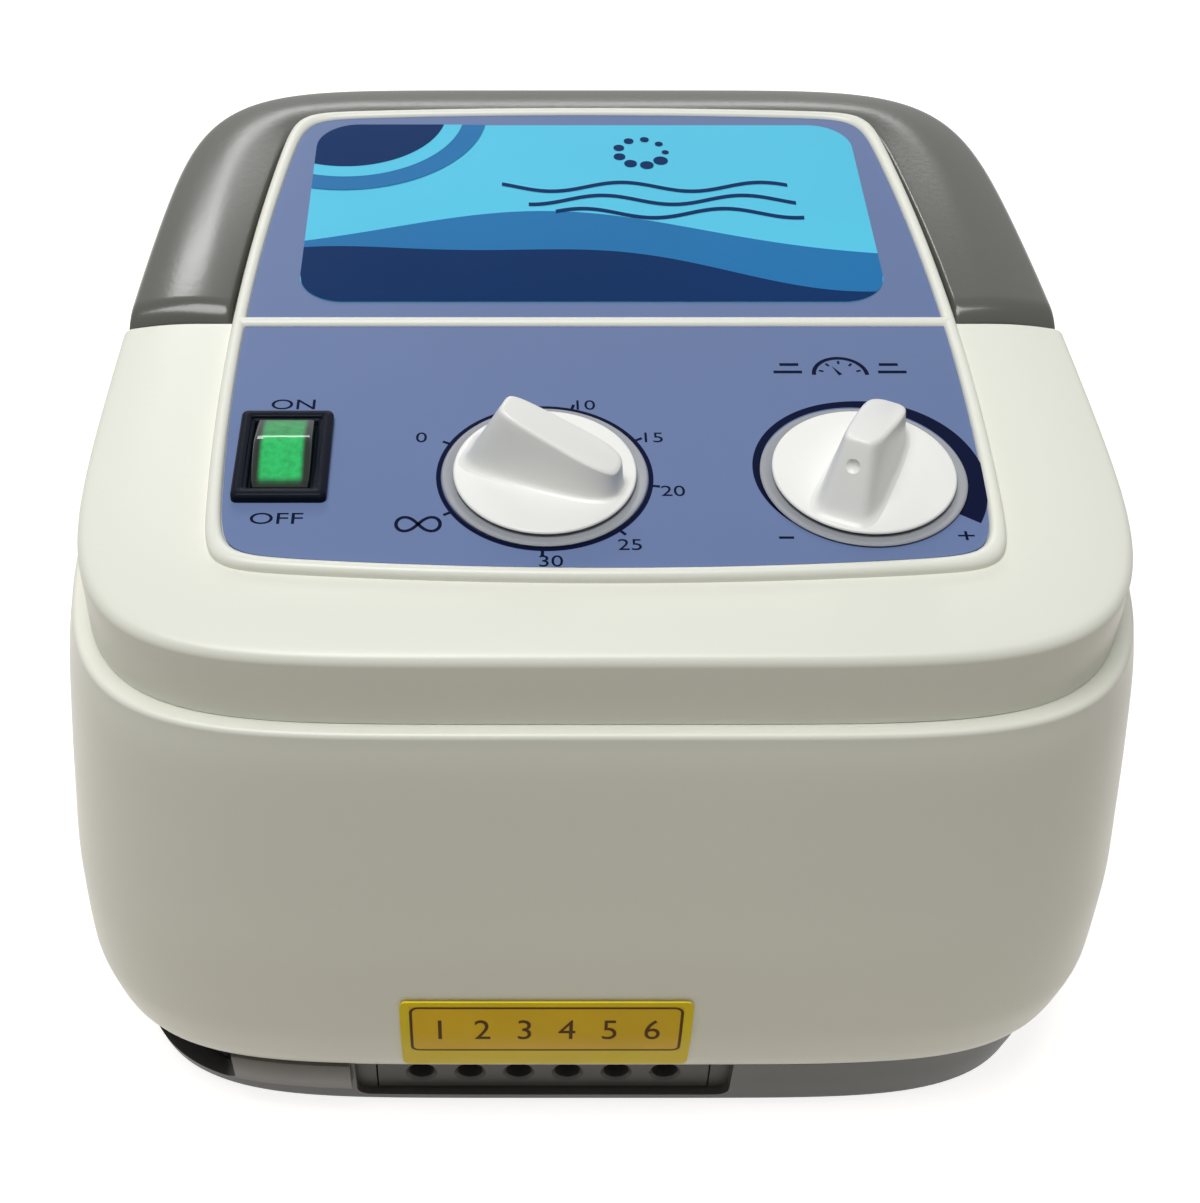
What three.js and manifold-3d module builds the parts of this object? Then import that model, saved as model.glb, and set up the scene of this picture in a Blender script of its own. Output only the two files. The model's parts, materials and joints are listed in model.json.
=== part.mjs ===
// Compression therapy pump: a bench-top air pump with six outlets, a timer, a pressure knob and a
// carrying handle.
// Millimetres, +Z up, front faces -Y. The origin is the middle of the footprint, on the surface it stands on.
import * as THREE from 'three';
import * as BufferGeometryUtils from 'three/addons/utils/BufferGeometryUtils.js';
import Module from 'manifold-3d';

const wasm = await Module();
wasm.setup();

// Driving dimensions of the case
const rimWidth = 164; // top cover, seen from above, halfway along
const rimDepth = 162.5;
const rimPower = 5.8; // superellipse power of the case in plan, front half
const rimRearPower = 6.8; // and rear half
const rimTaper = 3.6; // each side stands this much out at the front, and in at the rear
const rimBow = 2; // and this much in at both ends
const panelHeight = 120; // panel face above the surface it stands on
const skirtHeight = 13.3; // top cover's vertical side
const rimDrop = 2; // rim below the panel face
const rimRound = 4;
const crownRise = 1.5; // top rises from the rim towards the panel
const crownReach = 9;
const wall = 2.5;
const ledgeProud = 1.8; // lower shell stands proud of the top cover
const shellBulge = 8.6; // most that the lower shell stands outside the rim
const shellFootBulge = 5.2; // the same at its lower edge
const trayFootBulge = 2.5; // the same at the foot of the base tray
const trayHeight = 18.5;
const trayFloor = 3;
const tongueHeight = 6;
const footHeight = 2;
const gap = 0.3; // between touching pieces
const overrun = 4; // cutters run past the faces they cut

// Driving dimensions of the panel and what sits on it
const panelSideMargin = 19; // from the rim to the panel's sides
const panelSideBow = 3.6; // sides draw in towards both ends
const panelWidestShare = -0.3; // of the panel's half depth, where it is widest
const panelFrontMargin = 14.75;
const panelBackMargin = 14.5;
const panelFrontBow = 3;
const panelBackBow = 1.8;
const panelPower = 22;
const borderWidth = 2.3;
const borderHeight = 1.2;
const controlField = 63.25; // depth of the field in front of the divider
const dividerWidth = 2.4;
const overlayThickness = 0.4;
const overlaySeat = 0.1; // adhesive film under an overlay

const switchInset = 12.1; // from the panel's side
const switchRow = 27.25; // from the panel's front
const bezelWidth = 15;
const bezelLength = 21;
const bezelHeight = 1.6;
const bezelFrame = 2.4;
const switchBodyWidth = 13;
const switchBodyLength = 19;
const switchBodyDepth = 14;
const rockerSwing = 9; // degrees either side of level
const rockerRise = 3; // crest above the pivot
const rockerDrop = 2; // foot below the pivot
const rockerProud = 1; // crest above the bezel
const crestShare = 0.22; // of the rocker's half length, rounded

const knobRow = 22.9; // from the panel's front
const timerX = -9.2;
const pressureInset = 21.8; // from the panel's side
const knobRadius = 14.5;
const knobDisc = 0.9;
const collarRadius = 16.3;
const collarHeight = 0.6;
const wingLength = 25.6;
const wingWidth = 10.2; // at the tall end's foot
const wingTopWidth = 5.7;
const wingTallInset = 5.8; // top face inside the tall end's foot
const wingTall = 11.7; // above the disc, at the tall end
const wingLow = 4.9; // and at the low end
const timerPointAngle = 157; // tall end of the wing, counter-clockwise from +X
const pressurePointAngle = 245;
const timerBodyDiameter = 40;
const timerBodyHeight = 24;
const shaftRadius = 3;
const spindleRadius = 2.5;

const regulatorDiameter = 26;
const regulatorHeight = 34;
const regulatorWall = 3;
const springRadius = 5;
const springWire = 1.2;
const springTurns = 5;
const plugRadius = 7.5;
const plugHeight = 8;
const plugBoss = 2; // centres the spring
const plugNotch = 2; // radius of the leak groove in the plug's side
const regulatorFloor = 4;

// Driving dimensions of the handle
const handleGap = 1;
const handleEndGap = 2.2; // room for the crowned end to swing
const handleFloor = 2.3; // cover's flange below the handle
const pinRadius = 2.8;
const pinReach = 9; // into the handle
const pinHead = 2;
const pinHeadRadius = 4.4;

// Driving dimensions of the front
const portCount = 6;
const portPitch = 8.85;
const portRadius = 2.35;
const recessInset = 39.7; // from the rim's side to the recess
const portZ = 9.9;
const portBlockWidth = 60;
const portBlockHeight = 9.5;
const portBlockDepth = 12;
const portFaceProud = 1; // outside the rim
const recessWidth = 67.6;
const recessFloor = 5;
const labelWidth = 49.8;
const labelHeight = 21.6;
const labelThickness = 0.4;
const labelLift = 2.3; // above the lower shell's edge
const cornerOpeningWidth = 17.7; // of the opening in the tray's left corner, from the rim's side
const cornerOpeningDepth = 36; // and from the rim's front
const cornerOpeningFloor = 6;
const stripMargin = 0.6; // from the strip to the recess
const stripHeight = 9;
const stripThickness = 1.2;
const filterThickness = 5;

// Driving dimensions of the rear inlet
const inletWidth = 30;
const inletHeight = 22;
const inletDepth = 15.5;
const inletFlange = 2;
const inletFlangeRim = 3;
const inletCavityWidth = 24;
const inletCavityHeight = 16;
const inletCavityDepth = 13;
const inletX = 16;
const inletZ = 58;
const inletFaceInset = 1.2; // flange face inside the widest part of the shell
const pinBladeWidth = 2;
const pinBladeHeight = 4;
const pinBladeLength = 8;
const pinBladePitch = 7;

// Driving dimensions of what stands on and in the tray
const footRadius = 7;
const footSeat = 1; // pocket in the tray
const footInset = 32; // from the rim to a foot's middle, across and along
const screwInset = 18; // from the rim to a screw, across, and along at the rear
const screwFrontInset = 50; // and along at the front
const screwHeadRadius = 3.4;
const screwHeadHeight = 2.2;
const screwRadius = 1.6;
const screwLength = 26;
const screwBossRadius = 4.2;
const screwBossHeight = 13;
const postHeight = 30; // lower shell's screw posts
const ribWidth = 3;
const mountRadius = 6;
const mountHeight = 8;
const mountSpreadX = 44;
const mountSpreadY = 20;

// Driving dimensions of the pump
const pumpClearance = 6; // from the distributor's motor to the pump's plate
const pumpWidth = 112;
const pumpDepth = 54;
const pumpPlate = 3;
const coreLength = 30; // between its two pole faces
const poleThickness = 6;
const poleDepth = 32;
const poleHeight = 32;
const limbSize = 14;
const coilSize = 29;
const armLength = 40;
const armThickness = 4;
const armHeight = 14;
const armGap = 3; // from pole face to arm
const magnetLength = 14;
const magnetThickness = 1.3;
const studLength = 8;
const studRadius = 3;
const studClearance = 1;
const diaphragmRadius = 15;
const diaphragmThickness = 2.4;
const headLength = 16;
const headSize = 38;
const postWidth = 9;
const nippleLength = 7;

// Driving dimensions of the air distributor and the hoses
const hoseRoom = 39; // from the ports' block to the distributor's middle
const distributorRadius = 22;
const distributorHeight = 18;
const distributorWall = 3;
const rotorRadius = 15;
const rotorHeight = 8;
const rotorShaftRadius = 3;
const motorRadius = 24;
const motorHeight = 14;
const hoseRadius = 2.6;
const supplyHoseRadius = 3.6;
const outletFan = 24; // degrees between the outlets

// Places and heights worked out from the driving dimensions
const rimTop = panelHeight - rimDrop;
const skirtFoot = rimTop - skirtHeight;
const shellTop = skirtFoot - gap;
const trayTop = footHeight + trayHeight;
const shellFoot = trayTop + gap;
const halfWidth = rimWidth / 2;
const halfDepth = rimDepth / 2;
const panelHalfWidth = halfWidth - panelSideMargin;
const panelFront = panelFrontMargin - halfDepth;
const panelBack = halfDepth - panelBackMargin;
const dividerY = panelFront + controlField;
const switchX = switchInset - panelHalfWidth;
const switchY = panelFront + switchRow;
const knobRowY = panelFront + knobRow;
const pressureX = panelHalfWidth - pressureInset;
const portRowX = recessInset - halfWidth + recessWidth / 2;
const portFaceY = -halfDepth - portFaceProud;
const distributorY = portFaceY + portBlockDepth + hoseRoom;
const pumpY = distributorY + motorRadius + pumpClearance + pumpDepth / 2;
const cornerOpeningX = cornerOpeningWidth - halfWidth;
const cornerOpeningY = cornerOpeningDepth - halfDepth;
const footXs = [footInset - halfWidth, halfWidth - footInset];
const footYs = [footInset - halfDepth, halfDepth - footInset];
const screwXs = [screwInset - halfWidth, halfWidth - screwInset];
const screwYs = [screwFrontInset - halfDepth, halfDepth - screwInset];
const widestWidth = halfWidth + rimTaper + shellBulge;
const widestDepth = halfDepth + shellBulge;
const inletFace = widestDepth - inletFaceInset;
const trayInside = footHeight + trayFloor;
const overlayFoot = panelHeight + overlaySeat;
const overlayTop = overlayFoot + overlayThickness;
const panelMiddleY = (panelFront + panelBack) / 2;
const panelHalfDepth = (panelBack - panelFront) / 2;
const panelRoof = panelHeight - wall;

// Counts of facets, and how strongly the points of an outline crowd towards its corners
const planSteps = 56;
const roundSteps = 28;
const smallSteps = 16;
const outletHoseSteps = 8;
const supplyHoseSteps = 16;
const springStepsPerTurn = 12;
const caseCrowding = 1.5;
const panelCrowding = 2.2;

const group = new THREE.Group();

// Materials
const plastic = (color, roughness) => new THREE.MeshStandardMaterial({ color, roughness, metalness: 0 });
const metal = (color, roughness) => new THREE.MeshStandardMaterial({ color, roughness, metalness: 1 });
const ivory = plastic(0xeef0e4, 0.45);
const knobWhite = plastic(0xf2f2f0, 0.35);
const handleGrey = plastic(0x64645c, 0.35);
const trayGrey = plastic(0x5a5a58, 0.5);
const stripGrey = plastic(0x8a8a88, 0.5);
const collarGrey = plastic(0xb4b8c0, 0.5);
const overlayBlue = plastic(0x6f80aa, 0.4);
const overlayCyan = plastic(0x50cdf0, 0.4);
const black = plastic(0x101010, 0.35);
const rockerGreen = plastic(0x14c864, 0.15);
const labelYellow = plastic(0xd8bc20, 0.4);
const rubber = plastic(0x2a2a2a, 0.8);
const foam = plastic(0x141414, 0.95);
const innerWhite = plastic(0xdcdcd6, 0.5);
const innerBlack = plastic(0x1c1c1c, 0.5);
const hoseClear = plastic(0xd8dcd8, 0.3);
const steel = metal(0xb8b8b8, 0.35);
const brass = metal(0xc8a850, 0.3);
const copper = metal(0xb86a3c, 0.4);
const aluminium = metal(0xc8c8cc, 0.45);

// Turns a closed geometry into a solid that can be cut and joined.
function solid(geometry) {
  const bare = geometry.index ? geometry.toNonIndexed() : geometry.clone();
  bare.deleteAttribute('normal');
  bare.deleteAttribute('uv');
  const merged = BufferGeometryUtils.mergeVertices(bare, 1e-4);
  const mesh = new wasm.Mesh({
    numProp: 3,
    vertProperties: new Float32Array(merged.attributes.position.array),
    triVerts: new Uint32Array(merged.index.array),
  });
  return new wasm.Manifold(mesh);
}

// Turns a solid back into a geometry.
function geometryOf(body) {
  const mesh = body.getMesh();
  const geometry = new THREE.BufferGeometry();
  geometry.setAttribute('position', new THREE.BufferAttribute(new Float32Array(mesh.vertProperties), 3));
  geometry.setIndex(new THREE.BufferAttribute(new Uint32Array(mesh.triVerts), 1));
  geometry.computeVertexNormals();
  return geometry;
}

function addPiece(name, shape, material) {
  const geometry = shape.isBufferGeometry ? shape : geometryOf(shape);
  const mesh = new THREE.Mesh(geometry, material);
  mesh.name = name;
  group.add(mesh);
  return mesh;
}

// A ring is a list of points at one height; a loft joins rings of equal length and closes both ends.
function loft(rings, closed = false) {
  const count = rings[0].length;
  const positions = rings.flat().flatMap((p) => [p.x, p.y, p.z]);
  const indices = [];
  const last = closed ? rings.length : rings.length - 1;
  for (let level = 0; level < last; level += 1) {
    const next = (level + 1) % rings.length;
    for (let i = 0; i < count; i += 1) {
      const j = (i + 1) % count;
      const a = level * count + i;
      const b = level * count + j;
      const c = next * count + i;
      const d = next * count + j;
      indices.push(a, b, d, a, d, c);
    }
  }
  if (!closed) {
    for (const [level, flip] of [[0, true], [rings.length - 1, false]]) {
      const ring = rings[level];
      const middle = new THREE.Vector3();
      ring.forEach((p) => middle.add(p));
      middle.divideScalar(count);
      positions.push(middle.x, middle.y, middle.z);
      const hub = positions.length / 3 - 1;
      for (let i = 0; i < count; i += 1) {
        const a = level * count + i;
        const b = level * count + ((i + 1) % count);
        if (flip) indices.push(hub, b, a);
        else indices.push(hub, a, b);
      }
    }
  }
  const geometry = new THREE.BufferGeometry();
  geometry.setAttribute('position', new THREE.Float32BufferAttribute(positions, 3));
  geometry.setIndex(indices);
  return geometry;
}

// A unit superellipse, with its points crowded towards the four corners
function unitRing(frontPower, rearPower, crowding) {
  const octant = planSteps / 8;
  const points = [];
  for (let side = 0; side < 8; side += 1) {
    for (let i = 0; i < octant; i += 1) {
      const towards = side % 2 === 0 ? (i + 0.5) / octant : 1 - (i + 0.5) / octant;
      const share = 1 - (1 - towards) ** crowding;
      const angle = (Math.PI / 4) * (side % 2 === 0 ? side + share : side + 1 - share);
      const [c, s] = [Math.cos(angle), Math.sin(angle)];
      const power = s < 0 ? frontPower : rearPower;
      const radius = (Math.abs(c) ** power + Math.abs(s) ** power) ** (-1 / power);
      points.push([radius * c, radius * s]);
    }
  }
  return points;
}

const caseUnit = unitRing(rimPower, rimRearPower, caseCrowding);
const panelUnit = unitRing(panelPower, panelPower, panelCrowding);

// The case in plan: a superellipse, wider at the front, that stands a given distance outside the rim.
function caseRing(outside, z) {
  return caseUnit.map(([across, along]) => {
    const half = halfWidth - rimTaper * along - rimBow * along ** 2;
    return new THREE.Vector3((half + outside) * across, (halfDepth + outside) * along, z);
  });
}

const panelHalf = (along) => panelHalfWidth - panelSideBow * (along - panelWidestShare) ** 2;

// The panel in plan: nearly a rectangle with small round corners and bowed sides.
function panelRing(outside, z) {
  return panelUnit.map(([across, along]) => {
    const bow = (along < 0 ? panelFrontBow : panelBackBow) * across * across * -along;
    return new THREE.Vector3((panelHalf(along) + outside) * across,
      panelMiddleY + (panelHalfDepth + outside) * along + bow, z);
  });
}

const prism = (ringAt, outside, bottom, top) => solid(loft([ringAt(outside, bottom), ringAt(outside, top)]));

function box(x0, x1, y0, y1, z0, z1) {
  const geometry = new THREE.BoxGeometry(x1 - x0, y1 - y0, z1 - z0);
  geometry.translate((x0 + x1) / 2, (y0 + y1) / 2, (z0 + z1) / 2);
  return solid(geometry);
}

// A box given by its middle in plan, its foot and its sizes.
const block = (x, y, z, width, depth, height) =>
  box(x - width / 2, x + width / 2, y - depth / 2, y + depth / 2, z, z + height);

function upright(x, y, bottom, top, radius, steps = roundSteps) {
  const geometry = new THREE.CylinderGeometry(radius, radius, top - bottom, steps);
  geometry.rotateX(Math.PI / 2);
  geometry.translate(x, y, (bottom + top) / 2);
  return solid(geometry);
}

function along(axis, from, to, a, b, radius, steps = roundSteps) {
  const geometry = new THREE.CylinderGeometry(radius, radius, to - from, steps);
  const middle = (from + to) / 2;
  if (axis === 'x') {
    geometry.rotateZ(-Math.PI / 2);
    geometry.translate(middle, a, b);
  } else {
    geometry.translate(a, middle, b);
  }
  return solid(geometry);
}

// A hose along a smooth curve.
function hose(points, radius, steps) {
  const section = new THREE.Shape();
  section.absarc(0, 0, radius, 0, 2 * Math.PI, false);
  const curve = new THREE.CatmullRomCurve3(points, false, 'centripetal');
  const settings = { steps, curveSegments: 4, extrudePath: curve, bevelEnabled: false };
  return new THREE.ExtrudeGeometry(section, settings);
}

// Pivot of the handle, worked out from the cover
const handleFoot = skirtFoot + handleFloor + gap;
const handleThickness = rimTop - handleFoot;
const pivotZ = handleFoot + handleThickness / 2;
const channelFrontY = dividerY + dividerWidth / 2;
const pivotY = channelFrontY + handleEndGap + handleThickness / 2;
const panelAtPivot = panelHalf((pivotY - panelMiddleY) / panelHalfDepth); // half width there

const rimArcShares = [0.33, 0.67, 1]; // of the quarter turn that rounds the rim

// Rim of the top cover as a solid with a rounded top edge
function rimSolid(bottom, top) {
  const rings = [caseRing(0, bottom), caseRing(0, top - rimRound)];
  for (const share of rimArcShares) {
    const angle = (share * Math.PI) / 2;
    const inset = rimRound * (1 - Math.cos(angle));
    rings.push(caseRing(-inset, top - rimRound + rimRound * Math.sin(angle)));
  }
  rings.push(caseRing(-rimRound - crownReach, top + crownRise));
  return solid(loft(rings));
}

function makeTopCover() {
  const channelFoot = skirtFoot + handleFloor;
  const channel = box(-rimWidth, rimWidth, channelFrontY, rimDepth, channelFoot, panelHeight)
    .subtract(prism(panelRing, 0, skirtFoot, panelHeight + overrun));
  const frontHollow = prism(caseRing, -wall, skirtFoot - overrun, rimTop - wall)
    .intersect(box(-rimWidth, rimWidth, -rimDepth, channelFrontY - wall, 0, panelHeight));
  const panelHollow = prism(panelRing, -wall, skirtFoot - overrun, panelRoof);
  let cover = rimSolid(skirtFoot, rimTop)
    .subtract(channel)
    .add(prism(panelRing, 0, skirtFoot, panelHeight))
    .subtract(frontHollow)
    .subtract(panelHollow);
  const border = prism(panelRing, 0, panelHeight - wall, panelHeight + borderHeight)
    .subtract(prism(panelRing, -borderWidth, panelHeight - overrun, panelHeight + overrun));
  const bar = block(0, dividerY, panelRoof, 2 * panelHalfWidth - borderWidth, dividerWidth,
    wall + borderHeight);
  cover = cover.add(border).add(bar);
  const bodySlot = block(switchX, switchY, panelRoof - overrun, switchBodyWidth + 2 * gap,
    switchBodyLength + 2 * gap, wall + 2 * overrun);
  cover = cover.subtract(bodySlot);
  for (const [x, radius] of [[timerX, shaftRadius], [pressureX, spindleRadius]]) {
    cover = cover.subtract(upright(x, knobRowY, panelRoof - overrun, panelHeight + overrun, radius + gap));
  }
  const pinReachOut = panelAtPivot + overrun;
  const pins = along('x', -pinReachOut, pinReachOut, pivotY, pivotZ, pinRadius + gap, smallSteps);
  return cover.subtract(pins);
}

function makeHandle() {
  const rear = box(-rimWidth, rimWidth, pivotY, rimDepth, handleFoot - overrun, panelHeight);
  const ends = along('x', -rimWidth, rimWidth, pivotY, pivotZ, handleThickness / 2);
  const reach = panelAtPivot + handleGap + pinReach + gap;
  const pinHole = along('x', -reach, reach, pivotY, pivotZ, pinRadius + gap, smallSteps);
  return rimSolid(handleFoot, rimTop)
    .intersect(rear.add(ends))
    .subtract(prism(panelRing, handleGap, skirtFoot - overrun, panelHeight + overrun))
    .subtract(pinHole);
}

function makeHandlePin(side) {
  const inner = panelAtPivot - wall - gap;
  const outer = panelAtPivot + handleGap + pinReach;
  const [from, to] = side < 0 ? [-outer, -inner] : [inner, outer];
  const [headFrom, headTo] = side < 0 ? [-inner, -inner + pinHead] : [inner - pinHead, inner];
  return along('x', from, to, pivotY, pivotZ, pinRadius, smallSteps)
    .add(along('x', headFrom, headTo, pivotY, pivotZ, pinHeadRadius, smallSteps));
}

// Lower shell: how far each level stands outside the rim, as shares of the bulge, over shares of its height
const shellHeightShares = [0, 0.04, 0.1, 0.2, 0.38, 0.58, 0.78, 0.92, 1];
const shellBulgeShares = [0.56, 0.77, 0.89, 1, 0.95, 0.75, 0.5, 0.28, 0];
const shellWidestShare = 0.2; // of the height
const shellLevels = shellHeightShares.map((share, i) => {
  const z = shellFoot + share * (shellTop - shellFoot);
  const foot = shellFootBulge + ((shellBulgeShares[i] - shellBulgeShares[0]) / (1 - shellBulgeShares[0]))
    * (shellBulge - shellFootBulge);
  const upper = ledgeProud + shellBulgeShares[i] * (shellBulge - ledgeProud);
  return { z, outside: share < shellWidestShare ? foot : upper };
});

function shellRings(inset) {
  return shellLevels.map(({ z, outside }) => caseRing(outside - inset, z));
}

function makeLowerShell() {
  const outer = shellRings(0);
  const inner = shellRings(wall).reverse();
  let shell = solid(loft([...outer, ...inner], true));
  const insideWall = solid(loft(shellRings(wall / 2)));
  const seatY = inletFace - inletFlange - gap;
  const inletBox = (outside, from, to) => box(inletX - inletWidth / 2 - outside,
    inletX + inletWidth / 2 + outside, from, to, inletZ - inletHeight / 2 - outside,
    inletZ + inletHeight / 2 + outside);
  const seat = inletBox(inletFlangeRim + wall, seatY - wall, widestDepth).intersect(insideWall);
  const pocket = inletBox(inletFlangeRim + gap, seatY, widestDepth + overrun);
  const throat = inletBox(gap, seatY - wall - overrun, widestDepth + overrun);
  shell = shell.add(seat).subtract(pocket).subtract(throat);
  const postFoot = trayInside + screwBossHeight + gap;
  for (const x of screwXs) {
    for (const y of screwYs) {
      const wallX = Math.sign(x) * widestWidth;
      const rib = box(Math.min(x, wallX), Math.max(x, wallX), y - ribWidth / 2, y + ribWidth / 2,
        trayTop + tongueHeight + gap, postFoot + postHeight).intersect(insideWall);
      const hole = upright(x, y, postFoot - overrun, footHeight + screwLength + 2 * gap, screwRadius + gap,
        smallSteps);
      shell = shell.add(rib).add(upright(x, y, postFoot, postFoot + postHeight, screwBossRadius, smallSteps))
        .subtract(hole);
    }
  }
  return shell;
}

function makeBaseTray() {
  const outer = [caseRing(trayFootBulge, footHeight), caseRing(shellFootBulge - gap, trayTop)];
  const hollow = [caseRing(trayFootBulge - wall, trayInside),
    caseRing(shellFootBulge - wall - gap, trayTop + overrun)];
  const tongueOuter = prism(caseRing, shellFootBulge - wall - gap, trayTop - wall, trayTop + tongueHeight);
  const tongueInner = prism(caseRing, shellFootBulge - 2 * wall, trayTop - wall - overrun,
    trayTop + 2 * tongueHeight);
  let tray = solid(loft(outer)).subtract(solid(loft(hollow))).add(tongueOuter.subtract(tongueInner));
  const front = -widestDepth - overrun;
  const recess = box(portRowX - recessWidth / 2, portRowX + recessWidth / 2, front, portFaceY, recessFloor,
    trayTop);
  const recessBack = box(portRowX - recessWidth / 2 - wall, portRowX + recessWidth / 2 + wall, portFaceY,
    portFaceY + wall, trayInside - gap, trayTop + gap);
  const blockSeat = block(portRowX, portFaceY, portZ - portBlockHeight / 2 - gap, portBlockWidth + 2 * gap,
    4 * overrun, portBlockHeight + 2 * gap);
  const corner = box(-widestWidth - overrun, cornerOpeningX, front, cornerOpeningY, cornerOpeningFloor,
    trayTop);
  tray = tray.subtract(recess).add(recessBack).subtract(blockSeat).subtract(corner);
  for (const x of footXs) {
    for (const y of footYs) {
      tray = tray.subtract(upright(x, y, footHeight - overrun, footHeight + footSeat, footRadius + gap));
    }
  }
  for (const x of screwXs) {
    for (const y of screwYs) {
      const column = (bottom, top, radius) => upright(x, y, bottom, top, radius, smallSteps);
      tray = tray.add(column(trayInside - gap, trayInside + screwBossHeight, screwBossRadius));
      tray = tray.subtract(column(footHeight - overrun, footHeight + screwLength + gap, screwRadius + gap));
      tray = tray.subtract(column(footHeight - overrun, footHeight + screwHeadHeight + 2 * gap,
        screwHeadRadius + gap));
    }
  }
  return tray;
}

// Knob: a flat disc with a wing across it that is tall at the pointing end and low at the other
const wingCornerShare = 0.45; // of the wing's half width
const wingTipShare = 0.8; // width of the low end's foot

function makeKnob(x, pointAngle, boreRadius) {
  const foot = overlayTop + collarHeight + gap;
  const top = foot + knobDisc;
  const half = wingLength / 2;
  const tallTop = wingTallInset - half;
  const crest = (px) => top + wingTall + ((wingLow - wingTall) * (px - tallTop)) / (half - tallTop);
  const wing = (z, tallWidth, lowWidth, tallEnd, lowEnd) => {
    const tallCut = tallWidth * wingCornerShare;
    const lowCut = lowWidth * wingCornerShare;
    const side = [[lowEnd, lowWidth - lowCut], [lowEnd - lowCut, lowWidth],
      [tallEnd + tallCut, tallWidth], [tallEnd, tallWidth - tallCut]];
    const otherSide = side.map(([px, py]) => [px, -py]).reverse();
    return [...side, ...otherSide].map(([px, py]) => new THREE.Vector3(px, py, z(px)));
  };
  const footWidth = wingWidth / 2;
  const topWidth = wingTopWidth / 2;
  const edge = 2 * gap;
  const rings = [
    wing(() => foot + gap, footWidth, footWidth * wingTipShare, -half, half),
    wing((px) => crest(px) - edge, topWidth, topWidth, tallTop, half - gap),
    wing(crest, topWidth - edge, topWidth - edge, tallTop + edge, half - gap - edge),
  ];
  const profile = [
    [0, foot], [knobRadius - gap, foot], [knobRadius, foot + gap], [knobRadius, top - gap],
    [knobRadius - gap, top], [0, top],
  ].map(([r, z]) => new THREE.Vector2(r, z));
  const disc = new THREE.LatheGeometry(profile, 2 * roundSteps);
  disc.rotateX(Math.PI / 2);
  const bore = upright(0, 0, foot - overrun, shaftTop + gap, boreRadius + gap, smallSteps);
  const knob = solid(disc).add(solid(loft(rings))).subtract(bore);
  const turned = geometryOf(knob);
  turned.rotateZ(THREE.MathUtils.degToRad(pointAngle - 180));
  turned.translate(x, knobRowY, 0);
  return turned;
}

function makeCollar(x, boreRadius) {
  const hole = upright(x, knobRowY, overlayTop - overrun, overlayTop + overrun, boreRadius + 2 * gap,
    smallSteps);
  return upright(x, knobRowY, overlayTop + gap, overlayTop + collarHeight, collarRadius).subtract(hole);
}

// Overlays fill the two fields inside the border
function makeOverlay(front) {
  const inside = prism(panelRing, -borderWidth - gap, overlayFoot, overlayTop);
  const edge = dividerWidth / 2 + gap;
  const field = front
    ? box(-rimWidth, rimWidth, -rimDepth, dividerY - edge, 0, 2 * panelHeight)
    : box(-rimWidth, rimWidth, dividerY + edge, rimDepth, 0, 2 * panelHeight);
  let overlay = inside.intersect(field);
  if (front) {
    overlay = overlay.subtract(block(switchX, switchY, panelRoof, switchBodyWidth + 2 * gap,
      switchBodyLength + 2 * gap, 2 * overrun));
    for (const [x, radius] of [[timerX, shaftRadius], [pressureX, spindleRadius]]) {
      const hole = upright(x, knobRowY, panelRoof, overlayTop + overrun, radius + gap, smallSteps);
      overlay = overlay.subtract(hole);
    }
  }
  return overlay;
}

// Rocker switch: a framed body that snaps into the cover, and a rocker that tilts about a cross pin
const bezelTop = overlayTop + bezelHeight;
const rockerPivotZ = bezelTop + rockerProud - rockerRise;
const rockerHalfWidth = bezelWidth / 2 - bezelFrame - gap;
const rockerHalfLength = bezelLength / 2 - bezelFrame - 2 * gap;

function makeSwitchBody() {
  const bezel = block(switchX, switchY, overlayTop + gap, bezelWidth, bezelLength, bezelHeight - gap);
  const body = block(switchX, switchY, overlayTop - switchBodyDepth, switchBodyWidth, switchBodyLength,
    switchBodyDepth + 2 * gap);
  const well = block(switchX, switchY, rockerPivotZ - 2 * rockerDrop, bezelWidth - 2 * bezelFrame,
    bezelLength - 2 * bezelFrame, rockerRise + 2 * rockerDrop + overrun);
  return bezel.add(body).subtract(well);
}

// The rocker's two faces fall away from a rounded crest; at rest the rear one is pressed.
function makeRocker() {
  const swing = THREE.MathUtils.degToRad(rockerSwing);
  const fall = (y) => rockerRise - y * Math.tan(swing);
  const foot = rockerHalfLength - rockerDrop;
  const crest = crestShare * rockerHalfLength;
  const section = new THREE.Shape();
  section.moveTo(-foot, -rockerDrop);
  section.lineTo(foot, -rockerDrop);
  section.lineTo(rockerHalfLength, fall(rockerHalfLength));
  section.lineTo(crest, fall(crest));
  section.quadraticCurveTo(0, rockerRise, -crest, fall(crest));
  section.lineTo(-rockerHalfLength, fall(rockerHalfLength));
  const geometry = new THREE.ExtrudeGeometry(section, { depth: 2 * rockerHalfWidth, bevelEnabled: false,
    curveSegments: 4 });
  geometry.translate(0, 0, -rockerHalfWidth);
  geometry.rotateX(Math.PI / 2);
  geometry.rotateZ(Math.PI / 2);
  geometry.rotateX(-swing);
  geometry.translate(switchX, switchY, rockerPivotZ);
  return geometry;
}

// Timer: a round wind-up movement under the cover, with the shaft that carries the knob
const timerTop = panelRoof - gap;
const timerFoot = timerTop - timerBodyHeight;

function makeTimerBody() {
  return upright(timerX, knobRowY, timerFoot, timerTop, timerBodyDiameter / 2)
    .subtract(upright(timerX, knobRowY, timerTop - timerBodyHeight / 2, timerTop + overrun, shaftRadius + gap,
      smallSteps));
}

const knobFoot = overlayTop + collarHeight + gap;
const shaftTop = knobFoot + knobDisc + wingLow / 2 - gap;

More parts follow.
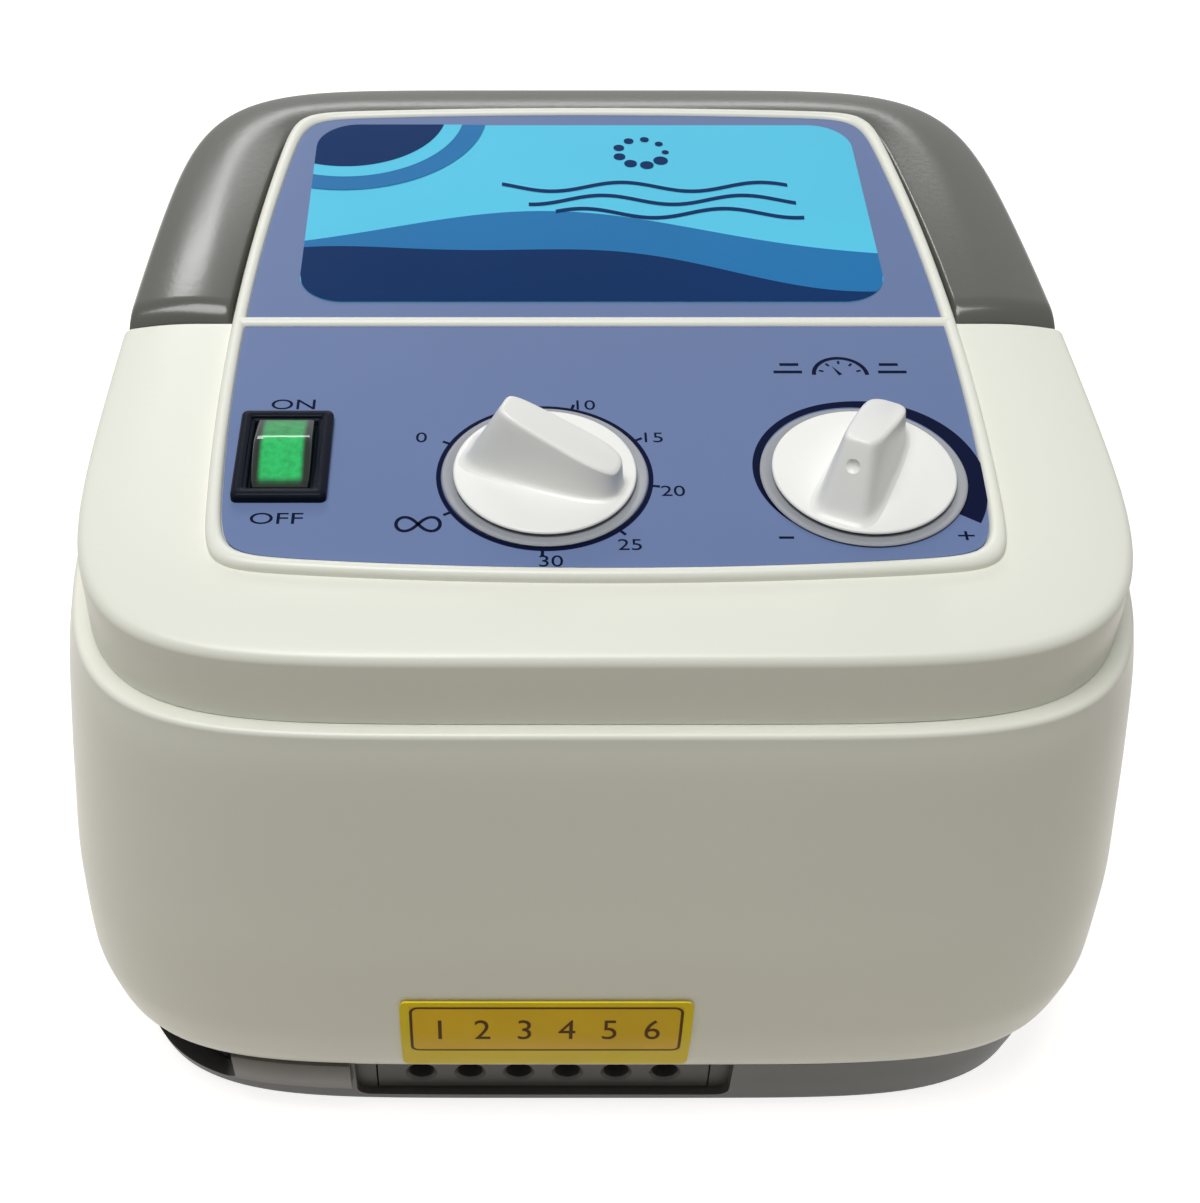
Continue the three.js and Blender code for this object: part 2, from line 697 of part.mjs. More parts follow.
function makeTimerShaft() {
  return upright(timerX, knobRowY, timerTop - timerBodyHeight / 2 + gap, shaftTop, shaftRadius, smallSteps);
}

// Regulator: the spindle turns a grooved plug in the barrel, and a spring below holds the plug up
const regulatorTop = panelRoof - gap;
const regulatorFoot = regulatorTop - regulatorHeight;
const springFoot = regulatorFoot + regulatorFloor + gap;
const plugTop = regulatorTop - regulatorWall - gap;
const plugFoot = plugTop - plugHeight;
const springTop = plugFoot - gap;

function makeRegulatorBody() {
  const bore = upright(pressureX, knobRowY, regulatorFoot + regulatorFloor, regulatorTop - regulatorWall,
    plugRadius + gap);
  const outletY = knobRowY + regulatorDiameter / 2;
  return upright(pressureX, knobRowY, regulatorFoot, regulatorTop, regulatorDiameter / 2)
    .add(along('y', knobRowY, outletY + nippleLength, pressureX, regulatorFoot + regulatorDiameter / 2,
      supplyHoseRadius - gap, smallSteps))
    .subtract(bore)
    .subtract(upright(pressureX, knobRowY, regulatorTop - 2 * regulatorWall, regulatorTop + overrun,
      spindleRadius + gap, smallSteps));
}

function makeSpindle() {
  return upright(pressureX, knobRowY, plugFoot - plugBoss, shaftTop, spindleRadius, smallSteps);
}

function makePlug() {
  const cut = (y, radius) => upright(pressureX, y, plugFoot - overrun, plugTop + overrun, radius, smallSteps);
  return upright(pressureX, knobRowY, plugFoot, plugTop, plugRadius)
    .add(upright(pressureX, knobRowY, plugFoot - plugBoss, plugFoot + gap, springRadius - springWire,
      smallSteps))
    .subtract(cut(knobRowY, spindleRadius + gap))
    .subtract(cut(knobRowY + plugRadius, plugNotch));
}

// The spring rises as a helix between its two seats.
function makeSpring() {
  const rise = springTop - springFoot - springWire;
  class Helix extends THREE.Curve {
    getPoint(t, target = new THREE.Vector3()) {
      const angle = 2 * Math.PI * springTurns * t;
      const z = springFoot + springWire / 2 + rise * t;
      const [x, y] = [springRadius * Math.cos(angle), springRadius * Math.sin(angle)];
      return target.set(pressureX + x, knobRowY + y, z);
    }
  }
  const section = new THREE.Shape();
  section.absarc(0, 0, springWire / 2, 0, 2 * Math.PI, false);
  const steps = springTurns * springStepsPerTurn;
  const settings = { steps, curveSegments: 3, extrudePath: new Helix(), bevelEnabled: false };
  return new THREE.ExtrudeGeometry(section, settings);
}

// Row of air outlets: a block with six bores that opens into the recess
const portXs = Array.from({ length: portCount }, (_, i) => portRowX + (i - (portCount - 1) / 2) * portPitch);

function makePortBlock() {
  let body = box(portRowX - portBlockWidth / 2, portRowX + portBlockWidth / 2, portFaceY,
    portFaceY + portBlockDepth, portZ - portBlockHeight / 2, portZ + portBlockHeight / 2);
  for (const x of portXs) {
    const [from, to] = [portFaceY - overrun, portFaceY + portBlockDepth + overrun];
    body = body.subtract(along('y', from, to, x, portZ, portRadius, smallSteps));
  }
  return body;
}

// Yellow label, bent to the lower shell
function makePortLabel() {
  const foot = shellFoot + labelLift;
  const skin = solid(loft(shellRings(-gap - labelThickness))).subtract(solid(loft(shellRings(-gap))));
  return skin.intersect(box(portRowX - labelWidth / 2, portRowX + labelWidth / 2, -rimDepth, 0, foot,
    foot + labelHeight));
}

// Foam in the tray's corner, behind the opening
function makeIntakeFilter() {
  const foot = trayInside + gap;
  const outside = trayFootBulge - wall - gap;
  return prism(caseRing, outside, foot, trayTop - gap)
    .subtract(prism(caseRing, outside - filterThickness, foot - overrun, trayTop + overrun))
    .intersect(box(-rimWidth, cornerOpeningX + filterThickness, -rimDepth, cornerOpeningY + filterThickness,
      0, panelHeight));
}

function trayRings(outside) {
  return [caseRing(trayFootBulge + outside, footHeight), caseRing(shellFootBulge - gap + outside, trayTop)];
}

// Light strip beside the opening, bent to the tray
function makeFrontStrip() {
  const foot = trayTop - gap - stripHeight - stripThickness;
  return solid(loft(trayRings(gap + stripThickness))).subtract(solid(loft(trayRings(gap))))
    .intersect(box(cornerOpeningX, portRowX - recessWidth / 2 - stripMargin, -rimDepth, 0, foot,
      foot + stripHeight));
}

// Mains inlet: a flanged socket in a flat pocket of the rear wall
const inletBack = inletFace - inletFlange - inletDepth;

function makeMainsInlet() {
  const flangeWidth = inletWidth / 2 + inletFlangeRim;
  const flangeHeight = inletHeight / 2 + inletFlangeRim;
  return box(inletX - flangeWidth, inletX + flangeWidth, inletFace - inletFlange, inletFace,
    inletZ - flangeHeight, inletZ + flangeHeight)
    .add(box(inletX - inletWidth / 2, inletX + inletWidth / 2, inletBack, inletFace - inletFlange / 2,
      inletZ - inletHeight / 2, inletZ + inletHeight / 2))
    .subtract(box(inletX - inletCavityWidth / 2, inletX + inletCavityWidth / 2, inletFace - inletCavityDepth,
      inletFace + overrun, inletZ - inletCavityHeight / 2, inletZ + inletCavityHeight / 2));
}

function makeInletBlade(side) {
  const x = inletX + side * pinBladePitch;
  const foot = inletFace - inletCavityDepth + gap;
  return box(x - pinBladeWidth / 2, x + pinBladeWidth / 2, foot, foot + pinBladeLength,
    inletZ - pinBladeHeight / 2, inletZ + pinBladeHeight / 2);
}

function makeFoot(x, y) {
  return upright(x, y, 0, footHeight + footSeat - gap, footRadius);
}

function makeScrew(x, y) {
  const headFoot = footHeight + gap;
  return upright(x, y, headFoot, headFoot + screwHeadHeight, screwHeadRadius, smallSteps)
    .add(upright(x, y, headFoot, footHeight + screwLength, screwRadius, smallSteps));
}

// Pump: a plate on four rubber mounts carries the core, the coil, two swinging arms and two heads
const plateFoot = trayInside + gap + mountHeight + gap;
const plateTop = plateFoot + pumpPlate;
const coreFoot = plateTop + gap;
const coreMiddleZ = coreFoot + poleHeight / 2;
const armInner = coreLength / 2 + armGap;
const armOuter = armInner + armThickness;
const diaphragmX = armOuter + studLength + studClearance;
const headX = diaphragmX + diaphragmThickness + gap;
const armPivotY = pumpY + armLength / 2;

function makePumpFrame() {
  let frame = block(0, pumpY, plateFoot, pumpWidth, pumpDepth, pumpPlate);
  const postTop = coreMiddleZ - armHeight / 2 - gap;
  for (const side of [-1, 1]) {
    const x = side * (armInner + armThickness / 2);
    const post = block(x, armPivotY, plateTop - gap, postWidth, postWidth, postTop - plateTop + gap);
    const pin = upright(x, armPivotY, postTop - gap, postTop + armHeight + gap, studRadius / 2, smallSteps);
    frame = frame.add(post).add(pin);
  }
  return frame;
}

function makeCore() {
  const reach = coreLength / 2;
  const half = poleDepth / 2;
  const pole = (from) => box(from, from + poleThickness, pumpY - half, pumpY + half, coreFoot,
    coreFoot + poleHeight);
  const limb = box(-reach, reach, pumpY - limbSize / 2, pumpY + limbSize / 2, coreMiddleZ - limbSize / 2,
    coreMiddleZ + limbSize / 2);
  return pole(-reach).add(pole(reach - poleThickness)).add(limb);
}

function makeCoil() {
  const reach = coreLength / 2 - poleThickness - gap;
  const outer = coilSize / 2;
  const inner = limbSize / 2 + gap;
  const bar = (across, half) => box(-across, across, pumpY - half, pumpY + half, coreMiddleZ - half,
    coreMiddleZ + half);
  return bar(reach, outer).subtract(bar(coreLength, inner));
}

function makeArm(side) {
  const x = side * (armInner + armThickness / 2);
  const magnetX = side * (armInner - magnetThickness / 2);
  const foot = coreMiddleZ - armHeight / 2;
  const [from, to] = side < 0 ? [-armOuter - studLength, -armInner] : [armInner, armOuter + studLength];
  return block(x, pumpY, foot, armThickness, armLength, armHeight)
    .add(upright(x, armPivotY, foot, foot + armHeight, postWidth / 2, smallSteps))
    .add(block(magnetX, pumpY, foot, magnetThickness + 2 * gap, magnetLength, armHeight))
    .add(along('x', from, to, pumpY, coreMiddleZ, studRadius, smallSteps))
    .subtract(upright(x, armPivotY, foot - overrun, foot + armHeight + overrun, studRadius / 2 + gap,
      smallSteps));
}

function makeDiaphragm(side) {
  const near = side * diaphragmX;
  const far = side * (diaphragmX + diaphragmThickness);
  return along('x', Math.min(near, far), Math.max(near, far), pumpY, coreMiddleZ, diaphragmRadius);
}

function makeHead(side) {
  const x = side * (headX + headLength / 2);
  return block(x, pumpY, coreFoot, headLength, headSize, headSize)
    .add(upright(x, pumpY, coreFoot + headSize - gap, coreFoot + headSize + nippleLength, supplyHoseRadius,
      smallSteps));
}

// Distributor: a small geared motor turns a disc that opens one outlet after another
const motorFoot = trayInside + gap;
const housingFoot = motorFoot + motorHeight + gap;
const housingTop = housingFoot + distributorHeight;
const rotorFoot = housingFoot + distributorWall + gap;

function makeMotor() {
  return upright(portRowX, distributorY, motorFoot, motorFoot + motorHeight, motorRadius);
}

function makeHousing() {
  const chamber = upright(portRowX, distributorY, rotorFoot - gap, rotorFoot + rotorHeight + gap,
    rotorRadius + 2 * gap);
  const inletHole = upright(portRowX, distributorY, rotorFoot, housingTop + overrun, rotorShaftRadius,
    smallSteps);
  return upright(portRowX, distributorY, housingFoot, housingTop, distributorRadius)
    .subtract(chamber)
    .subtract(inletHole)
    .subtract(upright(portRowX, distributorY, housingFoot - overrun, rotorFoot, rotorShaftRadius + gap,
      smallSteps));
}

function makeRotor() {
  return upright(portRowX, distributorY, rotorFoot, rotorFoot + rotorHeight, rotorRadius)
    .add(upright(portRowX, distributorY, housingFoot + gap, rotorFoot + gap, rotorShaftRadius, smallSteps));
}

const housingMiddle = housingFoot + distributorHeight / 2;
const hoseBend = 2 * hoseRadius;

function makeOutletHose(i) {
  const angle = THREE.MathUtils.degToRad(-90 + (i - (portCount - 1) / 2) * outletFan);
  const out = new THREE.Vector3(Math.cos(angle), Math.sin(angle), 0);
  const middle = new THREE.Vector3(portRowX, distributorY, housingMiddle);
  const start = middle.clone().addScaledVector(out, distributorRadius + gap);
  const away = middle.clone().addScaledVector(out, distributorRadius + gap + hoseBend);
  const end = new THREE.Vector3(portXs[i], portFaceY + portBlockDepth + gap, portZ);
  const before = end.clone().setY(end.y + hoseBend);
  return hose([start, away, before, end], hoseRadius, outletHoseSteps);
}

// From the left head to the top of the distributor
function makeSupplyHose() {
  const x = -headX - headLength / 2;
  const start = new THREE.Vector3(x, pumpY, coreFoot + headSize + nippleLength + gap);
  const end = new THREE.Vector3(portRowX, distributorY, housingTop + gap);
  const up = start.clone().setZ(start.z + 2 * supplyHoseRadius);
  const over = end.clone().setZ(start.z);
  const middle = up.clone().lerp(over, 0.5).setZ(up.z + 2 * supplyHoseRadius);
  return hose([start, up, middle, over, end], supplyHoseRadius, supplyHoseSteps);
}

// From the right head to the regulator
function makeRegulatorHose() {
  const x = headX + headLength / 2;
  const start = new THREE.Vector3(x, pumpY, coreFoot + headSize + nippleLength + gap);
  const endY = knobRowY + regulatorDiameter / 2 + nippleLength + gap;
  const end = new THREE.Vector3(pressureX, endY, regulatorFoot + regulatorDiameter / 2);
  const up = start.clone().setZ(start.z + 2 * supplyHoseRadius);
  const before = end.clone().setY(endY + 2 * supplyHoseRadius);
  return hose([start, up, before, end], supplyHoseRadius, supplyHoseSteps);
}

addPiece('top_cover', makeTopCover(), ivory);
addPiece('lower_shell', makeLowerShell(), ivory);
addPiece('base_tray', makeBaseTray(), trayGrey);
addPiece('carry_handle', makeHandle(), handleGrey);
addPiece('handle_pin_left', makeHandlePin(-1), steel);
addPiece('handle_pin_right', makeHandlePin(1), steel);
addPiece('control_overlay', makeOverlay(true), overlayBlue);
addPiece('display_overlay', makeOverlay(false), overlayCyan);
addPiece('switch_body', makeSwitchBody(), black);
addPiece('switch_rocker', makeRocker(), rockerGreen);
addPiece('timer_collar', makeCollar(timerX, shaftRadius), collarGrey);
addPiece('timer_knob', makeKnob(timerX, timerPointAngle, shaftRadius), knobWhite);
addPiece('timer_movement', makeTimerBody(), innerWhite);
addPiece('timer_shaft', makeTimerShaft(), steel);
addPiece('pressure_collar', makeCollar(pressureX, spindleRadius), collarGrey);
addPiece('pressure_knob', makeKnob(pressureX, pressurePointAngle, spindleRadius), knobWhite);
addPiece('regulator_body', makeRegulatorBody(), brass);
addPiece('regulator_spindle', makeSpindle(), steel);
addPiece('regulator_plug', makePlug(), innerWhite);
addPiece('regulator_spring', makeSpring(), steel);

addPiece('port_block', makePortBlock(), innerBlack);
addPiece('port_label', makePortLabel(), labelYellow);
addPiece('intake_filter', makeIntakeFilter(), foam);
addPiece('front_strip', makeFrontStrip(), stripGrey);
addPiece('mains_inlet', makeMainsInlet(), black);
addPiece('inlet_blade_left', makeInletBlade(-1), brass);
addPiece('inlet_blade_right', makeInletBlade(1), brass);
['front', 'rear'].forEach((end, row) => ['left', 'right'].forEach((side, column) => {
  addPiece(`foot_${end}_${side}`, makeFoot(footXs[column], footYs[row]), rubber);
  addPiece(`case_screw_${end}_${side}`, makeScrew(screwXs[column], screwYs[row]), steel);
  const mountX = column === 0 ? -mountSpreadX : mountSpreadX;
  const mountY = row === 0 ? pumpY - mountSpreadY : pumpY + mountSpreadY;
  const mount = upright(mountX, mountY, trayInside + gap, trayInside + gap + mountHeight, mountRadius,
    smallSteps);
  addPiece(`pump_mount_${end}_${side}`, mount, rubber);
}));
addPiece('pump_frame', makePumpFrame(), aluminium);
addPiece('pump_core', makeCore(), steel);
addPiece('pump_coil', makeCoil(), copper);
for (const [side, sign] of [['left', -1], ['right', 1]]) {
  addPiece(`pump_arm_${side}`, makeArm(sign), aluminium);
  addPiece(`pump_diaphragm_${side}`, makeDiaphragm(sign), rubber);
  addPiece(`pump_head_${side}`, makeHead(sign), innerBlack);
}
addPiece('distributor_motor', makeMotor(), aluminium);
addPiece('distributor_housing', makeHousing(), innerWhite);
addPiece('distributor_rotor', makeRotor(), innerWhite);
portXs.forEach((x, i) => addPiece(`outlet_hose_${i + 1}`, makeOutletHose(i), hoseClear));
addPiece('supply_hose', makeSupplyHose(), hoseClear);
addPiece('regulator_hose', makeRegulatorHose(), hoseClear);

export default group;
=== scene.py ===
"""Looks of the compression therapy pump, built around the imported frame.

Sizes are in millimetres until a mesh is made. The part stands on z = 0 and its front faces -Y.
"""
import json
import math

import bmesh
import bpy
import numpy as np
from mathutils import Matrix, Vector


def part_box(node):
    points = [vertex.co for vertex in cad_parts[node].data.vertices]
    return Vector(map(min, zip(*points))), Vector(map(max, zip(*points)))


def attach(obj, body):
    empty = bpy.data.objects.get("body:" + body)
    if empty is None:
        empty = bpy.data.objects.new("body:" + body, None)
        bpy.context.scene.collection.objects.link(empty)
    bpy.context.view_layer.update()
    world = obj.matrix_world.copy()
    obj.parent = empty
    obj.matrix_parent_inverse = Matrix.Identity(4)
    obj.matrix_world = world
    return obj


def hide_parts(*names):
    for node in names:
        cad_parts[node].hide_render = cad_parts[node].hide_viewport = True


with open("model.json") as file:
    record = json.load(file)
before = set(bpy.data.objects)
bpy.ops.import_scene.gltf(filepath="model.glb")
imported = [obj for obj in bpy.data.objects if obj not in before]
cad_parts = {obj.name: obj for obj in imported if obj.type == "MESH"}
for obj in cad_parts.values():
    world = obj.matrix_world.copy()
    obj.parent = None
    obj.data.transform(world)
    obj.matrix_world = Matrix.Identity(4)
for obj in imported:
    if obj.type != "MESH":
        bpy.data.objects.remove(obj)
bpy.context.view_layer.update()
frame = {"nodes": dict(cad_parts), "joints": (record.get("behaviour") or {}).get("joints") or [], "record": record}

MM = 0.001
GAP = 0.3


def box_mm(node):
    """Lowest and highest corner, middle and half size of a CAD node, in millimetres."""
    low, high = (np.array(corner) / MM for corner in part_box(node))
    return low, high, (low + high) / 2, (high - low) / 2


# Camera, at the photograph's viewing angle. It frames the pump's part of the photograph.
CAMERA_ELEVATION = 42.5
CAMERA_PLACE = Vector((-0.0158, -0.27555, 0.3274))
PHOTO_FOCAL_PIXELS = 785.3
PHOTO_AXIS_PIXEL = (176.2, 961.1)
VIEW_MIDDLE_PIXEL = (215.0, 1000.5)
VIEW_WIDTH_PIXELS = 480.0
SENSOR = 36.0

camera_data = bpy.data.cameras.new("camera")
camera_data.sensor_fit = "HORIZONTAL"
camera_data.sensor_width = SENSOR
camera_data.lens = PHOTO_FOCAL_PIXELS / VIEW_WIDTH_PIXELS * SENSOR
camera_data.shift_x = (VIEW_MIDDLE_PIXEL[0] - PHOTO_AXIS_PIXEL[0]) / VIEW_WIDTH_PIXELS
camera_data.shift_y = (PHOTO_AXIS_PIXEL[1] - VIEW_MIDDLE_PIXEL[1]) / VIEW_WIDTH_PIXELS
camera_data.clip_start = 0.01
camera = bpy.data.objects.new("camera", camera_data)
camera.location = CAMERA_PLACE
camera.rotation_euler = (math.radians(90 - CAMERA_ELEVATION), 0, 0)
bpy.context.scene.collection.objects.link(camera)
bpy.context.scene.camera = camera

# Case, as in the frame
COVER_LOW, COVER_HIGH = box_mm("top_cover")[:2]
SHELL_LOW, SHELL_HIGH = box_mm("lower_shell")[:2]
OVERLAY_TOP = box_mm("control_overlay")[1][2]
HANDLE_LOW = box_mm("carry_handle")[0]
HALF_WIDTH = 82.0
HALF_DEPTH = COVER_HIGH[1]
RIM_POWER = 5.8
RIM_REAR_POWER = 6.8
RIM_TAPER = 3.6
RIM_BOW = 2.0
SKIRT_FOOT = COVER_LOW[2]
SEAM = SHELL_HIGH[2] + 0.03
PANEL_HEIGHT = 120.0
RIM_TOP = 118.0
RIM_ROUND = 1.4
CROWN_RISE = 1.5
CROWN_REACH = 13.0
WALL = 2.5
LEDGE_PROUD = 2.4
SHELL_BULGE = SHELL_HIGH[1] - HALF_DEPTH
SHELL_FOOT_BULGE = 4.6
SHELL_HEIGHT_SHARES = (0, 0.04, 0.1, 0.2, 0.38, 0.58, 0.78, 0.92, 1)
SHELL_BULGE_SHARES = (0.56, 0.77, 0.89, 1, 0.95, 0.72, 0.44, 0.21, 0)
SHELL_WIDEST_SHARE = 0.2
TRAY_FOOT_BULGE = 2.5
TRAY_FOOT = 2.0
TRAY_TOP = SHELL_LOW[2] - GAP
CORNERS = ("front_left", "front_right", "rear_left", "rear_right")
CORNER_RIGHT = -64.3
PORT_PITCH = 8.85
PORT_RADIUS = 2.35
FAR = 200.0
OUTSIDE_Y = -120.0

# Panel
PANEL_HALF_WIDTH = 63.0
PANEL_SIDE_BOW = 3.6
PANEL_WIDEST_SHARE = -0.3
PANEL_FRONT = -66.5
PANEL_BACK = 66.75
PANEL_FRONT_BOW = 3.0
PANEL_BACK_BOW = 1.8
PANEL_FRONT_POWER = 22
PANEL_BACK_POWER = 22
BEAD_WIDTH = 2.3
BEAD_HEIGHT = 1.2
DIVIDER_Y = -3.25
DIVIDER_WIDTH = 2.4
CHANNEL_FRONT = DIVIDER_Y + DIVIDER_WIDTH / 2
CHANNEL_FLOOR = HANDLE_LOW[2] - GAP
PIVOT_Y = HANDLE_LOW[1] + (RIM_TOP - HANDLE_LOW[2]) / 2
PIVOT_Z = (RIM_TOP + HANDLE_LOW[2]) / 2
HANDLE_GAP = 1.0
HANDLE_REAR_FALL = 1.4
PIN_RADIUS = 2.8

OUTLINE_POINTS = 1440
LOOP_POINTS = 288


# Materials
def srgb(red, green, blue):
    """A colour as seen on a screen, 0 to 255, as linear values for a shader."""
    def linear(value):
        share = value / 255
        return share / 12.92 if share <= 0.04045 else ((share + 0.055) / 1.055) ** 2.4
    return (linear(red), linear(green), linear(blue), 1.0)


def tinted(colour, factor):
    return (*[min(1.0, c * factor) for c in colour[:3]], 1.0)


FINISH = {}


def new_finish(name):
    """Adds a material under a name that pieces ask for, and gives its node tree and shader."""
    FINISH[name] = bpy.data.materials.new(name)
    FINISH[name].use_nodes = True
    tree = FINISH[name].node_tree
    return tree, tree.nodes["Principled BSDF"]


def feed(tree, socket, value):
    """Gives an input a value or another node's output."""
    if isinstance(value, bpy.types.NodeSocket):
        tree.links.new(value, socket)
    else:
        socket.default_value = value


def set_inputs(tree, node, **values):
    for key, value in values.items():
        feed(tree, node.inputs[key.replace("_", " ")], value)
    return node


def add_node(tree, kind, **values):
    return set_inputs(tree, tree.nodes.new("ShaderNode" + kind), **values)


def maths(tree, operation, *values):
    made = tree.nodes.new("ShaderNodeMath")
    made.operation = operation
    for socket, value in zip(made.inputs, values):
        feed(tree, socket, value)
    return made.outputs[0]


def object_place(tree):
    """Where a point lies on its piece."""
    return tree.nodes.new("ShaderNodeTexCoord").outputs["Object"]


def colour_ramp(tree, value, first_colour, last_colour, first=0.0, last=1.0):
    ramp = add_node(tree, "ValToRGB", Fac=value)
    for stop, at, colour in zip(ramp.color_ramp.elements, (first, last), (first_colour, last_colour)):
        stop.position = at
        stop.color = colour
    return ramp.outputs["Color"]


def bump_normal(tree, height, strength, distance):
    return add_node(tree, "Bump", Height=height, Strength=strength, Distance=distance).outputs["Normal"]


def patchy_colour(tree, at, scale, first_colour, last_colour):
    """A colour that wanders between two values."""
    noise = add_node(tree, "TexNoise", Vector=at, Scale=scale, Detail=3)
    return colour_ramp(tree, noise.outputs["Fac"], first_colour, last_colour, 0.35, 0.65)


def surface(name, colour, roughness, metallic=0.0, specular=0.5, vary=0.03, patch=25, grain=900,
            grain_depth=0.00003, rough_vary=0.05):
    """A moulded, printed or metal finish: slight patches of tone, uneven gloss and a fine grain."""
    tree, shader = new_finish(name)
    colour = srgb(*colour)
    at = object_place(tree)
    smudge = add_node(tree, "TexNoise", Vector=at, Scale=patch * 3, Detail=4)
    gloss = add_node(tree, "MapRange", Value=smudge.outputs["Fac"], To_Min=roughness - rough_vary,
                     To_Max=roughness + rough_vary)
    fine = add_node(tree, "TexNoise", Vector=at, Scale=grain, Detail=2)
    set_inputs(tree, shader, Metallic=metallic, Specular_IOR_Level=specular,
               Roughness=gloss.outputs["Result"],
               Base_Color=patchy_colour(tree, at, patch, *[tinted(colour, 1 + v) for v in (-vary, vary)]),
               Normal=bump_normal(tree, fine.outputs["Fac"], 0.6, grain_depth))


surface("ivory", (239, 240, 228), 0.36, vary=0.012, patch=9)
surface("knob_white", (243, 243, 239), 0.34, vary=0.01, patch=40)
surface("handle_grey", (84, 84, 78), 0.2, vary=0.02, patch=8, specular=0.45, rough_vary=0.02)
surface("tray_grey", (90, 88, 86), 0.42, vary=0.04, patch=20, grain=1400, specular=0.3)
surface("strip_grey", (110, 107, 103), 0.4, vary=0.03, patch=30, specular=0.3)
surface("collar_grey", (156, 159, 164), 0.35, vary=0.02, patch=30)
surface("panel_blue", (110, 128, 170), 0.4, vary=0.03, patch=14, grain=2200, specular=0.08)
surface("ink_navy", (15, 22, 52), 0.45, vary=0.05, patch=60, specular=0.02)
surface("art_cyan", (92, 206, 239), 0.35, vary=0.02, patch=22, specular=0.06)
surface("art_mid", (34, 118, 178), 0.35, vary=0.03, patch=22, specular=0.05)
surface("art_navy", (16, 52, 102), 0.35, vary=0.06, patch=22, specular=0.02)
surface("label_yellow", (250, 222, 30), 0.4, vary=0.05, patch=45, specular=0.1)
surface("label_amber", (244, 200, 22), 0.4, vary=0.05, patch=45, specular=0.1)
surface("ink_brown", (96, 62, 12), 0.45, vary=0.05, patch=60, specular=0.05)
surface("gloss_black", (17, 22, 33), 0.32, vary=0.08, patch=60, specular=0.05)
surface("matte_black", (30, 30, 30), 0.55, vary=0.1, patch=60)
surface("rubber", (48, 48, 48), 0.75, vary=0.08, patch=80, grain=2500, grain_depth=0.00008)
surface("steel", (190, 190, 192), 0.3, metallic=1.0, vary=0.05, patch=120)
surface("brass", (205, 175, 95), 0.28, metallic=1.0, vary=0.05, patch=120)
surface("aluminium", (200, 200, 205), 0.38, metallic=1.0, vary=0.04, patch=90)
surface("inner_white", (226, 226, 220), 0.45, vary=0.03, patch=60)
surface("inner_black", (38, 38, 38), 0.5, vary=0.08, patch=60)


def make_foam():
    """Open-cell foam: small dark pits."""
    tree, shader = new_finish("filter_foam")
    pits = add_node(tree, "TexVoronoi", Vector=object_place(tree), Scale=900).outputs["Distance"]
    set_inputs(tree, shader, Base_Color=colour_ramp(tree, pits, srgb(8, 8, 8), srgb(40, 40, 40), last=0.7),
               Normal=bump_normal(tree, pits, 0.8, 0.0004), Roughness=0.95)


def make_copper_winding():
    """Enamelled wire laid side by side round the coil."""
    tree, shader = new_finish("copper_winding")
    turns = add_node(tree, "TexWave", Vector=object_place(tree), Scale=420, Distortion=0.3).outputs["Fac"]
    set_inputs(tree, shader, Base_Color=colour_ramp(tree, turns, srgb(120, 60, 30), srgb(205, 120, 70)),
               Normal=bump_normal(tree, turns, 0.8, 0.0003), Metallic=0.85, Roughness=0.3)


def make_hose():
    """Soft clear tube."""
    tree, shader = new_finish("hose_clear")
    tone = patchy_colour(tree, object_place(tree), 60, srgb(205, 214, 208), srgb(228, 234, 230))
    set_inputs(tree, shader, Base_Color=tone, Roughness=0.22, Transmission_Weight=0.35)


make_foam()
make_copper_winding()
make_hose()


# Meshes
def make_piece(name, vertices, faces, finish):
    """A Blender object from points in millimetres, and the name of its finish."""
    mesh = bpy.data.meshes.new(name)
    mesh.from_pydata([tuple(float(c) * MM for c in v) for v in vertices], [], [list(f) for f in faces])
    mesh.validate()
    piece = bpy.data.objects.new(name, mesh)
    bpy.context.scene.collection.objects.link(piece)
    mesh.materials.append(FINISH[finish])
    return piece


def outward(piece):
    """Points all faces out."""
    work = bmesh.new()
    work.from_mesh(piece.data)
    bmesh.ops.recalc_face_normals(work, faces=work.faces)
    work.to_mesh(piece.data)
    work.free()


def shade(piece, sharp_degrees=35):
    """Smooth shading with creases where faces meet at more than an angle."""
    outward(piece)
    piece.data.polygons.foreach_set("use_smooth", [True] * len(piece.data.polygons))
    piece.data.set_sharp_from_angle(angle=math.radians(sharp_degrees))
    return piece


def grid_faces(rows, columns, wrap_rows=False, wrap_columns=True):
    """Quads between neighbours in rows of points."""
    faces = []
    for i in range(rows if wrap_rows else rows - 1):
        row, next_row = i * columns, (i + 1) % rows * columns
        for j in range(columns if wrap_columns else columns - 1):
            right = (j + 1) % columns
            faces.append((row + j, row + right, next_row + right, next_row + j))
    return faces


def loft(name, sections, finish, closed=False):
    """Joins closed sections of equal length. Both ends get a cap, unless the row of sections closes."""
    sections = np.array(sections, float)
    rows, columns = sections.shape[:2]
    faces = grid_faces(rows, columns, wrap_rows=closed)
    if not closed:
        faces.append(tuple(range(columns)))
        faces.append(tuple(range((rows - 1) * columns, rows * columns)))
    return make_piece(name, sections.reshape(-1, 3), faces, finish)


def lathe(name, profile, centre, finish, steps=96):
    """A turned piece. A profile of radius and height that starts and ends off the axis makes a ring."""
    inner = [(r, z) for r, z in profile if r > 0]
    vertices = [(centre[0] + r * math.cos(a), centre[1] + r * math.sin(a), z)
                for r, z in inner for a in (2 * math.pi * k / steps for k in range(steps))]
    on_axis = profile[0][0] == 0
    faces = grid_faces(len(inner), steps, wrap_rows=not on_axis)
    if on_axis:
        faces += [tuple(range(steps)), tuple(range((len(inner) - 1) * steps, len(inner) * steps))]
    return make_piece(name, vertices, faces, finish)


